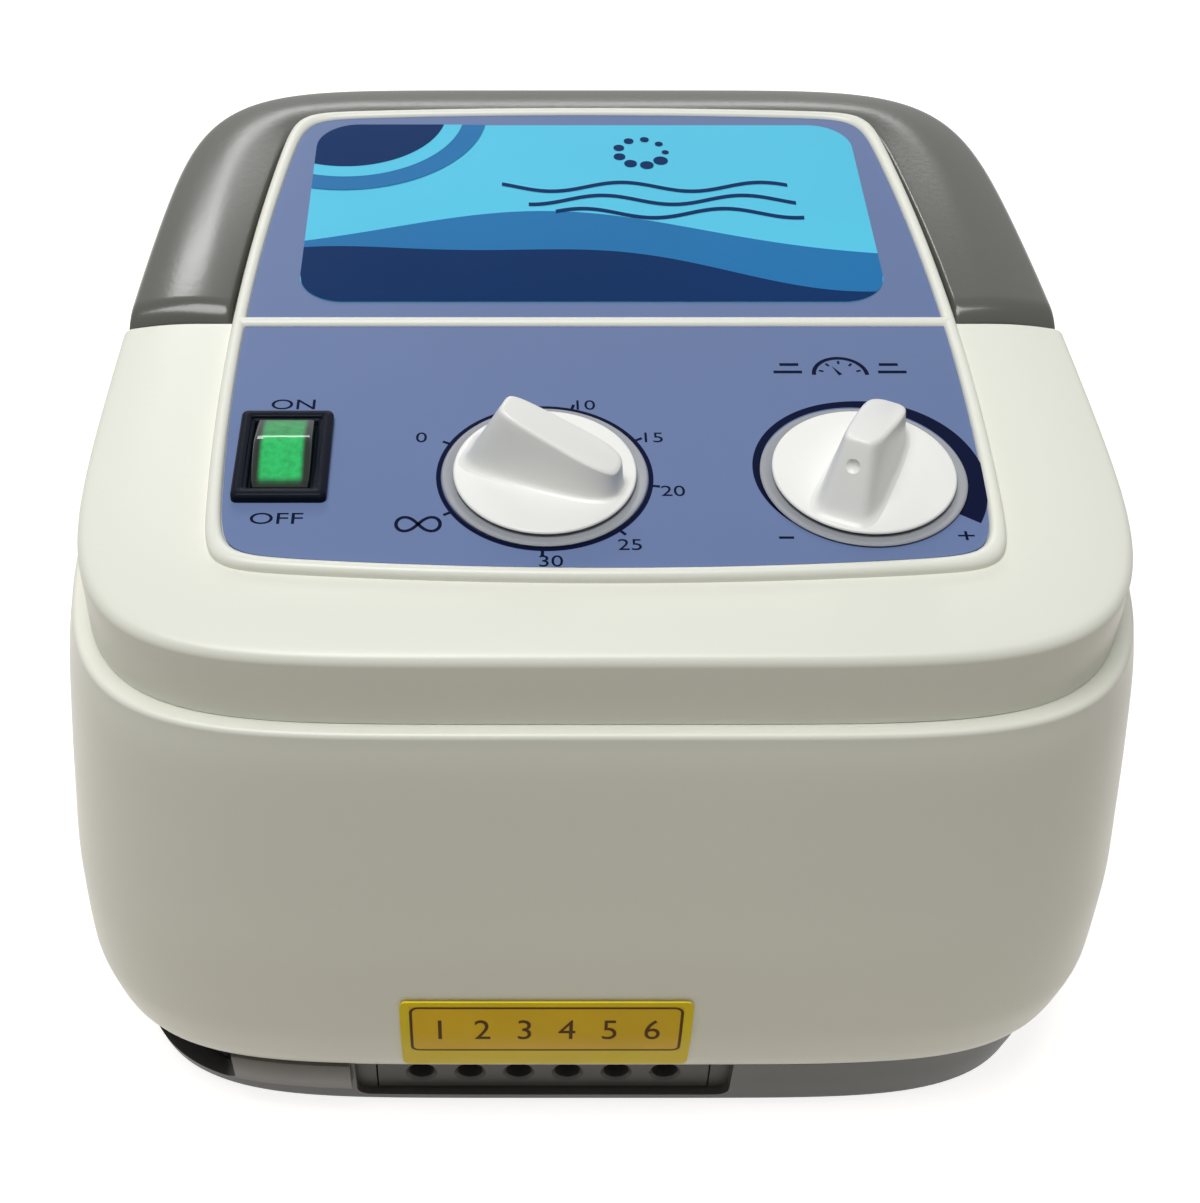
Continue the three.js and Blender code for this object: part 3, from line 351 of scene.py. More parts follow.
def rod(name, radius, low, high, centre, finish, steps):
    return lathe(name, [(0, low), (radius, low), (radius, high), (0, high)], centre, finish, steps)


def apply_modifiers(piece):
    depsgraph = bpy.context.evaluated_depsgraph_get()
    made = bpy.data.meshes.new_from_object(piece.evaluated_get(depsgraph))
    piece.modifiers.clear()
    piece.data = made
    return piece


def carve(piece, cutters, operation="DIFFERENCE"):
    """Cuts or joins closed pieces, and deletes the cutters."""
    outward(piece)
    for cutter in cutters:
        outward(cutter)
        step = piece.modifiers.new("carve", "BOOLEAN")
        step.operation = operation
        step.solver = "EXACT"
        step.object = cutter
    apply_modifiers(piece)
    for cutter in cutters:
        bpy.data.objects.remove(cutter)
    return piece


def soften(piece, width):
    """Rounds the edges of a small piece."""
    step = piece.modifiers.new("soften", "BEVEL")
    step.width = width * MM
    step.segments = 2
    step.limit_method = "ANGLE"
    step.angle_limit = math.radians(40)
    return apply_modifiers(piece)


def join(pieces, name):
    """One object from several."""
    bpy.ops.object.select_all(action="DESELECT")
    for piece in pieces:
        piece.select_set(True)
    bpy.context.view_layer.objects.active = pieces[0]
    bpy.ops.object.join()
    pieces[0].name = name
    pieces[0].data.name = name
    return pieces[0]


def box_piece(name, low, high, finish):
    (x0, y0, z0), (x1, y1, z1) = low, high
    sections = [[(x0, y0, z), (x1, y0, z), (x1, y1, z), (x0, y1, z)] for z in (z0, z1)]
    return loft(name, sections, finish)


# Outlines in plan
def full_turn(count):
    """Even angles round a full turn, in radians."""
    return np.linspace(0, 2 * math.pi, count, endpoint=False)


def superellipse(front_power, back_power, crowd, count):
    """An outline with flat sides, whose points lie closer together near its four corners."""
    angle = full_turn(count)
    angle += crowd * np.sin(4 * angle) / 4
    c, s = np.cos(angle), np.sin(angle)
    power = np.where(s < 0, front_power, back_power)
    radius = (np.abs(c) ** power + np.abs(s) ** power) ** (-1 / power)
    return np.stack([radius * c, radius * s], 1)


CASE_UNIT = superellipse(RIM_POWER, RIM_REAR_POWER, 0.45, OUTLINE_POINTS)
CASE_LOOP_UNIT = superellipse(RIM_POWER, RIM_REAR_POWER, 0.45, LOOP_POINTS)
PANEL_UNIT = superellipse(PANEL_FRONT_POWER, PANEL_BACK_POWER, 0.8, OUTLINE_POINTS)
PANEL_LOOP_UNIT = superellipse(PANEL_FRONT_POWER, PANEL_BACK_POWER, 0.8, LOOP_POINTS)


def rim_half(along):
    """Half the rim's width, from -1 at the front to 1 at the rear: a little wider at the front."""
    return HALF_WIDTH - RIM_TAPER * along - RIM_BOW * along ** 2


def case_ring(outside, unit=CASE_UNIT):
    """The case in plan, a distance outside the rim."""
    across, along = unit[:, 0], unit[:, 1]
    half = rim_half(along)
    return np.stack([(half + outside) * across, (HALF_DEPTH + outside) * along], 1)


def front_y(x, outside):
    """Where the case's front lies at x, a distance outside the rim."""
    along = -1.0
    for _ in range(4):
        share = min(1.0, abs(x) / (rim_half(along) + outside))
        along = -(1 - share ** RIM_POWER) ** (1 / RIM_POWER)
    return (HALF_DEPTH + outside) * along


def panel_ring(outside, unit=PANEL_UNIT):
    across, along = unit[:, 0], unit[:, 1]
    half = PANEL_HALF_WIDTH - PANEL_SIDE_BOW * (along - PANEL_WIDEST_SHARE) ** 2
    bow = -np.where(along < 0, PANEL_FRONT_BOW, PANEL_BACK_BOW) * across * across * along
    middle = (PANEL_FRONT + PANEL_BACK) / 2
    half_depth = (PANEL_BACK - PANEL_FRONT) / 2
    return np.stack([(half + outside) * across, middle + (half_depth + outside) * along + bow], 1)


def at_height(ring, z):
    return np.column_stack([ring, np.full(len(ring), z)])


def case_loop(outside, z):
    return at_height(case_ring(outside, CASE_LOOP_UNIT), z)


def panel_loop(outside, z):
    return at_height(panel_ring(outside, PANEL_LOOP_UNIT), z)


def quarter_turn(steps, first=0):
    """Angles over a quarter turn, in radians."""
    return [math.radians(90 * k / steps) for k in range(first, steps + 1)]


def circle_points(radius, steps):
    return [(radius * math.cos(a), radius * math.sin(a)) for a in full_turn(steps)]


def rounded_rectangle(half_x, half_y, radius, corner_steps=8):
    points = []
    for cx, cy, start in ((1, 1, 0), (-1, 1, 90), (-1, -1, 180), (1, -1, 270)):
        for k in range(corner_steps + 1):
            angle = math.radians(start + 90 * k / corner_steps)
            points.append((cx * (half_x - radius) + radius * math.cos(angle),
                           cy * (half_y - radius) + radius * math.sin(angle)))
    return points


def upright(outline, middle, y):
    """An outline stood up at a depth, about a middle."""
    return [(middle[0] + x, y, middle[2] + z) for x, z in outline]


class Sweep:
    """Stations round part of the case: rays from a point on the middle line, then lines of equal depth."""

    def __init__(self, centre_y, first_degrees, last_degrees, end_ys=(), rays=260):
        base = np.linspace(0, 1, rays)
        angles = np.radians(first_degrees + (last_degrees - first_degrees) * base)
        self.angles = angles - 0.35 * np.sin(4 * angles) / 4
        self.centre_y = centre_y
        self.end_ys = list(end_ys)
        self.first_side = 1 if abs(first_degrees % 360) < 90 else -1

    def track(self, ring):
        """Where an outline meets each station."""
        offset = ring - np.array([0, self.centre_y])
        angle = np.unwrap(np.arctan2(offset[:, 1], offset[:, 0]))
        radius = np.hypot(offset[:, 0], offset[:, 1])
        order = np.argsort(angle)
        angle, radius = angle[order], radius[order]
        angle = np.concatenate([angle - 2 * math.pi, angle, angle + 2 * math.pi])
        radius = np.concatenate([radius, radius, radius])
        reach = np.interp(self.angles, angle, radius)
        rays = np.stack([reach * np.cos(self.angles), self.centre_y + reach * np.sin(self.angles)], 1)
        first = [self.at_depth(ring, y, self.first_side) for y in reversed(self.end_ys)]
        last = [self.at_depth(ring, y, -self.first_side) for y in self.end_ys]
        return np.array([*first, *rays, *last])

    @staticmethod
    def at_depth(ring, y, side):
        half = ring[ring[:, 0] * side > 0]
        half = half[np.argsort(half[:, 1])]
        return (float(np.interp(y, half[:, 1], half[:, 0])), y)

    def spread(self, middle, ends):
        """One value per station: the same on all rays, and the given ones on the end lines."""
        return np.array([*reversed(ends), *[middle] * len(self.angles), *ends], float)


def sweep_loft(name, sweep, columns, finish):
    """Columns hold an outline and a height (or one height per station) for each point of the section."""
    tracks = []
    for ring, height in columns:
        track = sweep.track(ring)
        tracks.append(np.column_stack([track, np.broadcast_to(height, len(track))]))
    return loft(name, np.stack(tracks, 1), finish)


def smooth_step(share):
    share = np.clip(share, 0, 1)
    return share * share * (3 - 2 * share)


def smooth_table(shares, values, at):
    """A smooth curve through a few values that never overshoots them."""
    x, y = np.array(shares, float), np.array(values, float)
    slope = np.diff(y) / np.diff(x)
    tangent = np.zeros(len(x))
    tangent[0], tangent[-1] = slope[0], slope[-1]
    for k in range(1, len(x) - 1):
        if slope[k - 1] * slope[k] > 0:
            tangent[k] = 2 * slope[k - 1] * slope[k] / (slope[k - 1] + slope[k])
    k = int(np.clip(np.searchsorted(x, at) - 1, 0, len(x) - 2))
    width = x[k + 1] - x[k]
    t = (at - x[k]) / width
    return float((2 * t ** 3 - 3 * t ** 2 + 1) * y[k] + (t ** 3 - 2 * t ** 2 + t) * width * tangent[k]
                 + (-2 * t ** 3 + 3 * t ** 2) * y[k + 1] + (t ** 3 - t ** 2) * width * tangent[k + 1])


def place(piece, body, slot, *nodes, sharp=35):
    """Finishes a piece: shading, body and the CAD nodes it stands for. The slot is not used."""
    shade(piece, sharp)
    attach(piece, body)
    if nodes:
        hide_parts(*nodes)
    return piece


# Lower shell
def shell_outside(z):
    """How far the lower shell stands outside the rim at a height."""
    share = (z - SHELL_LOW[2]) / (SHELL_HIGH[2] - SHELL_LOW[2])
    bulges = []
    for height, bulge in zip(SHELL_HEIGHT_SHARES, SHELL_BULGE_SHARES):
        low = SHELL_FOOT_BULGE + (bulge - SHELL_BULGE_SHARES[0]) / (1 - SHELL_BULGE_SHARES[0]) * (
            SHELL_BULGE - SHELL_FOOT_BULGE)
        high = LEDGE_PROUD + bulge * (SHELL_BULGE - LEDGE_PROUD)
        bulges.append(low if height < SHELL_WIDEST_SHARE else high)
    return smooth_table(SHELL_HEIGHT_SHARES, bulges, share)


def make_lower_shell():
    lip, foot = 0.9, 0.8
    foot_draw, foot_reach = 0.15, 1.5
    low, high = SHELL_LOW[2], SHELL_HIGH[2]
    edge = shell_outside(low + foot) - foot
    rings = [case_loop(edge + foot * math.sin(a) - foot_draw, low + foot - foot * math.cos(a))
             for a in quarter_turn(5)[:-1]]
    rings += [case_loop(shell_outside(z) - foot_draw * math.exp((low + foot - z) / foot_reach), z)
              for z in np.linspace(low + foot, high - lip, 44)]
    edge = shell_outside(high - lip)
    rings += [case_loop(edge - lip + lip * math.cos(a), high - lip + lip * math.sin(a))
              for a in quarter_turn(6, 1)]
    rings += [case_loop(shell_outside(z) - WALL, z) for z in np.linspace(high - 0.1, low + 0.1, 14)]
    shell = loft("lower_shell_body", rings, "ivory", closed=True)
    _, inlet_high, middle, half = box_mm("mains_inlet")
    outline = rounded_rectangle(half[0] + GAP, half[2] + GAP, 2.0)
    throat = [upright(outline, middle, inlet_high[1] + depth) for depth in (-3 * WALL, 2 * WALL)]
    carve(shell, [loft("throat", throat, "ivory")])
    return place(shell, "case", "ivory_shell", "lower_shell", sharp=30)


# Top cover
def crown_height(inset):
    """Height of the cover's top at a distance inside the rim: a round edge and a long fall."""
    edge = np.minimum(inset, RIM_ROUND)
    rounded = RIM_TOP - RIM_ROUND + np.sqrt(np.maximum(0.0, RIM_ROUND ** 2 - (RIM_ROUND - edge) ** 2))
    share = np.minimum(inset / CROWN_REACH, 1.0)
    return rounded + CROWN_RISE * (1 - (1 - share) ** 2)


def make_apron():
    """The ivory part of the cover in front of the handle, with a rolled edge at the channel."""
    roll = 0.7
    turns = quarter_turn(5, 1)
    edge = CHANNEL_FRONT - roll
    sweep = Sweep(edge, 180, 360, [edge + roll * math.sin(t) for t in turns])
    drop = sweep.spread(0, [roll * (1 - math.cos(t)) for t in turns])
    insets = [0, 0.03, 0.11, 0.25, 0.45, 0.7, 1.0, 1.4, 2.2, 3.4, 4.8, 6.4, 8, 9.6, 11.2, 13]
    columns = [(case_ring(0), SEAM + 0.02), (case_ring(0), RIM_TOP - RIM_ROUND - 4)]
    columns += [(case_ring(-d), crown_height(d) - drop) for d in insets]
    columns += [(panel_ring(-BEAD_WIDTH / 2), RIM_TOP + CROWN_RISE - drop),
                (panel_ring(-BEAD_WIDTH / 2), SKIRT_FOOT + 0.3), (case_ring(-0.2), SEAM)]
    apron = sweep_loft("apron", sweep, columns, "ivory")
    hollow = loft("hollow", [case_loop(-WALL, z - WALL) for z in (SKIRT_FOOT, RIM_TOP)], "ivory")
    behind = box_piece("behind", (-FAR, CHANNEL_FRONT - WALL, 0), (FAR, FAR, FAR), "ivory")
    carve(hollow, [behind])
    return carve(apron, [hollow])


def make_channel_floor():
    """The cover's flange that runs below the handle."""
    sweep = Sweep(CHANNEL_FRONT, 0, 180, rays=220)
    top, low = CHANNEL_FLOOR, SKIRT_FOOT
    columns = [(panel_ring(-1), low + 0.2), (case_ring(-0.4), low), (case_ring(0), low + 0.4),
               (case_ring(0), top - 0.4), (case_ring(-0.4), top), (panel_ring(-1), top)]
    return sweep_loft("channel_floor", sweep, columns, "ivory")


def half_round(half, top, steps=10):
    """A half round that ends at a height: distance from its middle line, and height."""
    turns = [math.pi * k / steps for k in range(steps + 1)]
    return [(half * math.cos(t), top - half + half * math.sin(t)) for t in turns]


def panel_openings(bottom, top, switch_edge, finish):
    """Cutters for the switch and for the two shafts that pass through the panel."""
    low, high = box_mm("switch_body")[:2]
    cutters = [box_piece("slot", (low[0] + switch_edge, low[1] + switch_edge, bottom),
                         (high[0] - switch_edge, high[1] - switch_edge, top), finish)]
    for node in ("timer_shaft", "regulator_spindle"):
        _, _, middle, half = box_mm(node)
        cutters.append(rod("hole", half[0] + GAP, bottom, top, middle, finish, 48))
    return cutters


def make_panel_frame():
    """The raised middle of the cover, with the bead that borders both fields."""
    rings = [panel_loop(0, SKIRT_FOOT + 0.2), panel_loop(0, PANEL_HEIGHT - 0.6)]
    rings += [panel_loop(-BEAD_WIDTH / 2 + x, z)
              for x, z in half_round(BEAD_WIDTH / 2, PANEL_HEIGHT + BEAD_HEIGHT)]
    rings.append(panel_loop(-BEAD_WIDTH - 0.05, PANEL_HEIGHT))
    panel = loft("panel_frame", rings, "ivory")
    hollow = loft("hollow", [panel_loop(-WALL, z - WALL) for z in (SKIRT_FOOT, PANEL_HEIGHT)], "ivory")
    openings = panel_openings(PANEL_HEIGHT - 2 * WALL, PANEL_HEIGHT + WALL, 0.7, "ivory")
    return carve(panel, [hollow, *openings])


def make_divider():
    half, foot = DIVIDER_WIDTH / 2, PANEL_HEIGHT - 0.5
    reach = Sweep.at_depth(panel_ring(-BEAD_WIDTH / 2), DIVIDER_Y, 1)[0]
    arc = half_round(half, PANEL_HEIGHT + BEAD_HEIGHT)
    section = [(-half, foot), *[(-y, z) for y, z in arc], (half, foot)]
    return loft("divider", [[(x, DIVIDER_Y + y, z) for y, z in section] for x in (-reach, reach)], "ivory")


def make_top_cover():
    cover = join([make_apron(), make_channel_floor(), make_panel_frame(), make_divider()], "top_cover_body")
    return place(cover, "case", "ivory_shell", "top_cover", sharp=40)


# Carrying handle
def handle_fall(line):
    """How much the handle's top is lower than the cover's, growing towards the rear."""
    return HANDLE_REAR_FALL * smooth_step((line[:, 1] - PIVOT_Y) / (HALF_DEPTH - PIVOT_Y))


def make_handle():
    radius = PIVOT_Z - HANDLE_LOW[2]
    turns = [math.radians(a) for a in (12, 24, 36, 48, 58, 67, 75, 81, 85)]
    sweep = Sweep(PIVOT_Y, 0, 180, [PIVOT_Y - radius * math.sin(t) for t in turns])
    squeeze = sweep.spread(1, [math.cos(t) for t in turns])
    low = HANDLE_LOW[2]
    inner_round = 1.3
    inner_top = RIM_TOP + CROWN_RISE - 0.5
    made = []

    def add(line, z):
        made.append(np.column_stack([line, PIVOT_Z + (z - PIVOT_Z) * squeeze]))

    for angle in quarter_turn(5):
        line = sweep.track(panel_ring(HANDLE_GAP + inner_round * (1 - math.cos(angle))))
        add(line, inner_top - inner_round + inner_round * math.sin(angle) - handle_fall(line))
    inner = sweep.track(panel_ring(HANDLE_GAP + inner_round))
    outer = sweep.track(case_ring(-RIM_ROUND))
    across = np.hypot(*(outer - inner).T)
    for share in np.linspace(0.08, 0.92, 12):
        line = inner + (outer - inner) * share
        dip = 0.5 * (1 - share) ** 3
        add(line, crown_height(RIM_ROUND + (1 - share) * across) - dip - handle_fall(line))
    for inset in (1.4, 1.0, 0.7, 0.45, 0.25, 0.11, 0.03, 0):
        line = sweep.track(case_ring(-inset))
        add(line, crown_height(inset) - handle_fall(line))
    for inset, rise in ((0, 4), (0, 0.8), (0.25, 0.25), (0.8, 0)):
        add(sweep.track(case_ring(-inset)), low + rise)
    for inset, rise in ((0.8, 0), (0.25, 0.25), (0, 0.8)):
        add(sweep.track(panel_ring(HANDLE_GAP + inset)), low + rise)
    handle = loft("handle_body", np.stack(made, 1), "handle_grey")
    reach = box_mm("handle_pin_right")[1][0] + GAP
    pin = circle_points(PIN_RADIUS + GAP, 32)
    hole = [[(x, PIVOT_Y + y, PIVOT_Z + z) for y, z in pin] for x in (-reach, reach)]
    carve(handle, [loft("pin_hole", hole, "handle_grey")])
    return place(handle, "handle", "handle_grey", "carry_handle", sharp=40)


# Base tray
def tray_outside(z):
    share = (z - TRAY_FOOT) / (TRAY_TOP - TRAY_FOOT)
    return TRAY_FOOT_BULGE + (SHELL_FOOT_BULGE - GAP - TRAY_FOOT_BULGE) * share


def make_tray():
    foot_round = 2.2
    floor_top = TRAY_FOOT + 3.0
    rings = [case_loop(TRAY_FOOT_BULGE - foot_round + foot_round * math.sin(a),
                       TRAY_FOOT + foot_round - foot_round * math.cos(a)) for a in quarter_turn(6)]
    rings += [case_loop(tray_outside(z), z) for z in (8, 12, 16, TRAY_TOP - 0.4)]
    rings.append(case_loop(tray_outside(TRAY_TOP) - 0.4, TRAY_TOP))
    tray = loft("tray_body", rings, "tray_grey")
    hollow = loft("hollow", [case_loop(TRAY_FOOT_BULGE - WALL, floor_top),
                             case_loop(SHELL_FOOT_BULGE - WALL - GAP, TRAY_TOP + WALL)], "tray_grey")
    carve(tray, [hollow])
    block_low, block_high, middle, _ = box_mm("port_block")
    face = block_low[1]
    recess_half, recess_floor = 33.8, 5.0
    recess_tall = (TRAY_TOP + 8 - recess_floor) / 2
    backing = box_piece("backing", (middle[0] - recess_half - WALL, face, floor_top - 1),
                        (middle[0] + recess_half + WALL, face + WALL, TRAY_TOP), "tray_grey")
    carve(tray, [backing], "UNION")

    def front_cut(name, centre_x, floor, half_x, half_z, corner, back):
        """A rounded opening from outside the case back to a depth."""
        outline = rounded_rectangle(half_x, half_z, corner)
        centre = (centre_x, 0, floor + half_z)
        return loft(name, [upright(outline, centre, y) for y in (OUTSIDE_Y, back)], "tray_grey")

    seat = box_piece("seat", block_low - GAP, (block_high[0] + GAP, face + 3 * WALL, block_high[2] + GAP),
                     "tray_grey")
    opening = 40
    cutters = [front_cut("recess", middle[0], recess_floor, recess_half, recess_tall, 2.4, face), seat,
               front_cut("corner", CORNER_RIGHT - opening, 6, opening, half_z=16, corner=3, back=-44)]
    for corner in CORNERS:
        _, foot_high, middle, half = box_mm(f"foot_{corner}")
        cutters.append(rod("pocket", half[0] + GAP, 0, foot_high[2] + GAP, middle, "tray_grey", 64))
        _, _, middle, half = box_mm(f"case_screw_{corner}")
        cutters.append(rod("sink", half[0] + GAP, 0, floor_top - 0.4, middle, "tray_grey", 48))
    carve(tray, cutters)
    return place(tray, "case", "tray_grey", "base_tray", sharp=35)


def make_port_block():
    low, high, middle, _ = box_mm("port_block")
    block = box_piece("port_row", low, high, "tray_grey")
    cutters, dark = [], []
    for k in range(6):
        x = middle[0] + (k - 2.5) * PORT_PITCH
        stations = ((low[1] - 2, 0.5), (low[1], 0.5), (low[1] + 0.5, 0), (high[1] + 2, 0))
        bore = [upright(circle_points(PORT_RADIUS + flare, 40), (x, 0, middle[2]), y)
                for y, flare in stations]
        cutters.append(loft("port", bore, "tray_grey"))
        # Painted shade: black discs a little way into each port make the holes look dark.
        dark.append(rod("port_dark", PORT_RADIUS + 0.3, 0, 0.6, (0, 0), "matte_black", 32))
        dark[-1].rotation_euler = (math.radians(90), 0, 0)
        dark[-1].location = (x * MM, (low[1] + 3.5) * MM, middle[2] * MM)
    carve(block, cutters)
    place(join(dark, "port_shade_discs"), "case", "inner_black")
    return place(block, "case", "inner_black", "port_block")


# Surface of the lower shell's front, for what is stuck on it
def on_front(x, z, lift):
    return (x, front_y(x, shell_outside(z) + lift), z)


def front_skin(name, xs, lower, upper, lift, thickness, finish, rows=24):
    """A thin sheet on the shell's front between two heights given along x."""
    count, layer = len(xs), len(xs) * rows
    vertices = [on_front(x, lower(x) + (upper(x) - lower(x)) * share, out)
                for out in (lift, lift + thickness) for x in xs for share in np.linspace(0, 1, rows)]
    faces = []
    for a in (i * rows + j for i in range(count - 1) for j in range(rows - 1)):
        faces.append((a, a + rows, a + rows + 1, a + 1))
        faces.append((layer + a, layer + a + 1, layer + a + rows + 1, layer + a + rows))
    rim = [i * rows for i in range(count)]
    rim += [(count - 1) * rows + j for j in range(1, rows)]
    rim += [i * rows + rows - 1 for i in range(count - 2, -1, -1)]
    rim += [j for j in range(rows - 2, 0, -1)]
    faces += [(a, b, layer + b, layer + a) for a, b in zip(rim, rim[1:] + rim[:1])]
    return make_piece(name, vertices, faces, finish)


def rounded_edge(x, low_x, high_x, radius):
    """How far a rounded corner cuts back at x."""
    inside = min(x - low_x, high_x - x)
    if inside >= radius:
        return 0.0
    return radius - math.sqrt(max(0.0, radius ** 2 - (radius - inside) ** 2))


def letters(text, height, stretch=1.2):
    """Text as a flat mesh about its own middle, in millimetres."""
    curve = bpy.data.curves.new("letters", "FONT")
    curve.body = text
    curve.align_x = "CENTER"
    curve.align_y = "CENTER"
    curve.size = height / 0.72
    curve.resolution_u = 6
    holder = bpy.data.objects.new("letters", curve)
    bpy.context.scene.collection.objects.link(holder)
    mesh = bpy.data.meshes.new_from_object(holder.evaluated_get(bpy.context.evaluated_depsgraph_get()))
    bpy.data.objects.remove(holder)
    points = [(v.co.x * stretch, v.co.y) for v in mesh.vertices]
    faces = [tuple(p.vertices) for p in mesh.polygons]
    return points, faces


def diced(points, faces, pitch):
    """Cuts flat faces along lines one pitch apart, both ways."""
    work = bmesh.new()
    corners = [work.verts.new((x, y, 0)) for x, y in points]
    for face in faces:
        if len({corners[i] for i in face}) == len(face):
            work.faces.new([corners[i] for i in face])
    for axis in (0, 1):
        values = [v.co[axis] for v in work.verts]
        normal = Vector((1, 0, 0) if axis == 0 else (0, 1, 0))
        for value in np.arange(min(values) + pitch, max(values), pitch):
            everything = [*work.verts, *work.edges, *work.faces]
            bmesh.ops.bisect_plane(work, geom=everything, dist=1e-6, plane_co=normal * value,
                                   plane_no=normal)
    work.verts.index_update()
    made_points = [(v.co.x, v.co.y) for v in work.verts]
    made_faces = [tuple(v.index for v in face.verts) for face in work.faces]
    work.free()
    return made_points, made_faces


def finely(outline, pitch=1.0):
    """A closed line with points at least one pitch apart added along its long sides."""
    made = []
    for (ax, ay), (bx, by) in zip(outline, outline[1:] + outline[:1]):
        steps = max(1, math.ceil(math.hypot(bx - ax, by - ay) / pitch))
        made += [(ax + (bx - ax) * k / steps, ay + (by - ay) * k / steps) for k in range(steps)]
    return made


def band(inner, outer):
    """Points and faces of a flat band between two lines of equal length."""
    points = [p for pair in zip(inner, outer) for p in pair]
    return points, [(2 * k, 2 * k + 2, 2 * k + 3, 2 * k + 1) for k in range(len(inner) - 1)]


def arc_band(first, last, radius_in, radius_out, steps=90):
    """A band along an arc. Its outer radius may be a number or change with the share of the arc."""
    sides = [[], []]
    for share, angle in zip(np.linspace(0, 1, steps), np.radians(np.linspace(first, last, steps))):
        outer = radius_out(share) if callable(radius_out) else radius_out
        for side, radius in zip(sides, (radius_in, outer)):
            side.append((radius * math.cos(angle), radius * math.sin(angle)))
    return band(*sides)


# Yellow label over the outlets
def make_port_label():
    low, high = box_mm("port_label")[:2]
    x0, x1, z0, z1 = low[0] + 0.2, high[0] - 0.2, low[2] + 0.2, high[2] - 0.2
    corner, margin, line = 1.2, 1.6, 0.5
    lift, thickness = GAP + 0.02, 0.3

    def cut(x):
        return rounded_edge(x, x0, x1, corner)

    sheet = front_skin("port_label_sheet", np.linspace(x0, x1, 90), lambda x: z0 + cut(x),
                       lambda x: z1 - cut(x), lift, thickness, "label_yellow")
    place(sheet, "case", "label_yellow", "port_label")
    film = lift + thickness
    ix0, ix1, iz0, iz1 = x0 + margin, x1 - margin, z0 + 6.0, z1 - 1.2
    columns, rows = 60, 24
    points = [on_front(x, z, film + 0.02)
              for x in np.linspace(ix0, ix1, columns) for z in np.linspace(iz0, iz1, rows)]
    amber = make_piece("label_field", points, grid_faces(columns, rows, wrap_columns=False), "label_amber")
    place(amber, "case", "label_yellow")
    inks = []

    def add(points, faces, x_middle, pitch=0):
        """Adds print. A pitch cuts it into strips that can bend."""
        points = [(x + x_middle, z + z_middle) for x, z in points]
        if pitch:
            points, faces = diced(points, faces, pitch)
        inks.append(make_piece("ink", [on_front(x, z, film + 0.05) for x, z in points], faces, "ink_brown"))

    z_middle = (iz0 + iz1) / 2
    border = [finely(rounded_rectangle((ix1 - ix0) / 2 - inset, (iz1 - iz0) / 2 - inset, margin - inset))
              for inset in (line, 0)]
    add(*band(*[side + side[:1] for side in border]), (ix0 + ix1) / 2)
    for k in range(6):
        add(*letters(str(k + 1), 6.0, 0.75), (x0 + x1) / 2 + (k - 2.5) * 7.2, pitch=1.0)
    place(join(inks, "label_print"), "case", "label_yellow")


# Overlays and their print
PRINT_Z = OVERLAY_TOP + 0.04
FILM_GAP = 0.1


def overlay_film(node, name, front):
    """Printed film between the beads."""
    edge = -BEAD_WIDTH - FILM_GAP
    ring = panel_ring(edge, PANEL_LOOP_UNIT)
    limit = DIVIDER_Y + (-1 if front else 1) * (DIVIDER_WIDTH / 2 + FILM_GAP)
    outline = [(x, y) for x, y in ring if (y < limit if front else y > limit)]
    outline += [Sweep.at_depth(panel_ring(edge), limit, side) for side in (1, -1)]
    middle = np.mean(outline, 0)
    outline.sort(key=lambda p: math.atan2(p[1] - middle[1], p[0] - middle[0]))
    heights = [corner[2] for corner in box_mm(node)[:2]]
    return loft(name, [[(x, y, z) for x, y in outline] for z in heights], "panel_blue")


def make_overlays():
    control = overlay_film("control_overlay", "control_film", True)
    carve(control, panel_openings(PANEL_HEIGHT - 1, OVERLAY_TOP + 1, 0.8, "panel_blue"))
    place(control, "case", "panel_blue", "control_overlay")
    display = overlay_film("display_overlay", "display_film", False)
    place(display, "case", "panel_blue", "display_overlay")


TIMER_X, KNOB_ROW = box_mm("timer_shaft")[2][:2]
PRESSURE_X = box_mm("regulator_spindle")[2][0]
DIAL_RADII = (16.45, 17.2)
DIAL_DEGREES = (153, 74, 30, -8, -48, -92, -150)
DIAL_TEXTS = (("0", -29.0, -34.2), ("10", -2.5, -26.0), ("15", 8.3, -34.2), ("20", 10.9, -47.1),
              ("25", 3.6, -59.3), ("30", -8.6, -62.9))
SCALE_MIDDLE = (41.3, -42.75)
SCALE_INNER = 16.25
SCALE_DEGREES = (222, 170, 100, 58, -11, -35)
SCALE_OUTER = (16.9, 17.5, 17.7, 18.6, 19.45, 20.3)
MINUS_PLACE = (27.6, -57.2)
PLUS_PLACE = (55.2, -57.4)
GAUGE_PLACE = (40.9, -17.9)
ENDLESS_PLACE = (-28.9, -54.6)


def endless_loop(half_width, reach, thickness, steps=97):
    """The sign for no end: a band along a lying figure of eight."""
    sides = [[], []]
    for t in np.linspace(0, 2 * math.pi, steps):
        share = 1 + math.sin(t) ** 2
        x, y = half_width * math.cos(t) / share, reach * math.sin(t) * math.cos(t) / share
        dx = half_width * (-math.sin(t) * share - math.cos(t) * math.sin(2 * t)) / share ** 2
        dy = reach * (math.cos(2 * t) * share - math.sin(t) * math.cos(t) * math.sin(2 * t)) / share ** 2
        size = math.hypot(dx, dy)
        for side, offset in zip(sides, (-thickness / 2, thickness / 2)):
            side.append((x - offset * dy / size, y + offset * dx / size))
    return band(*sides)


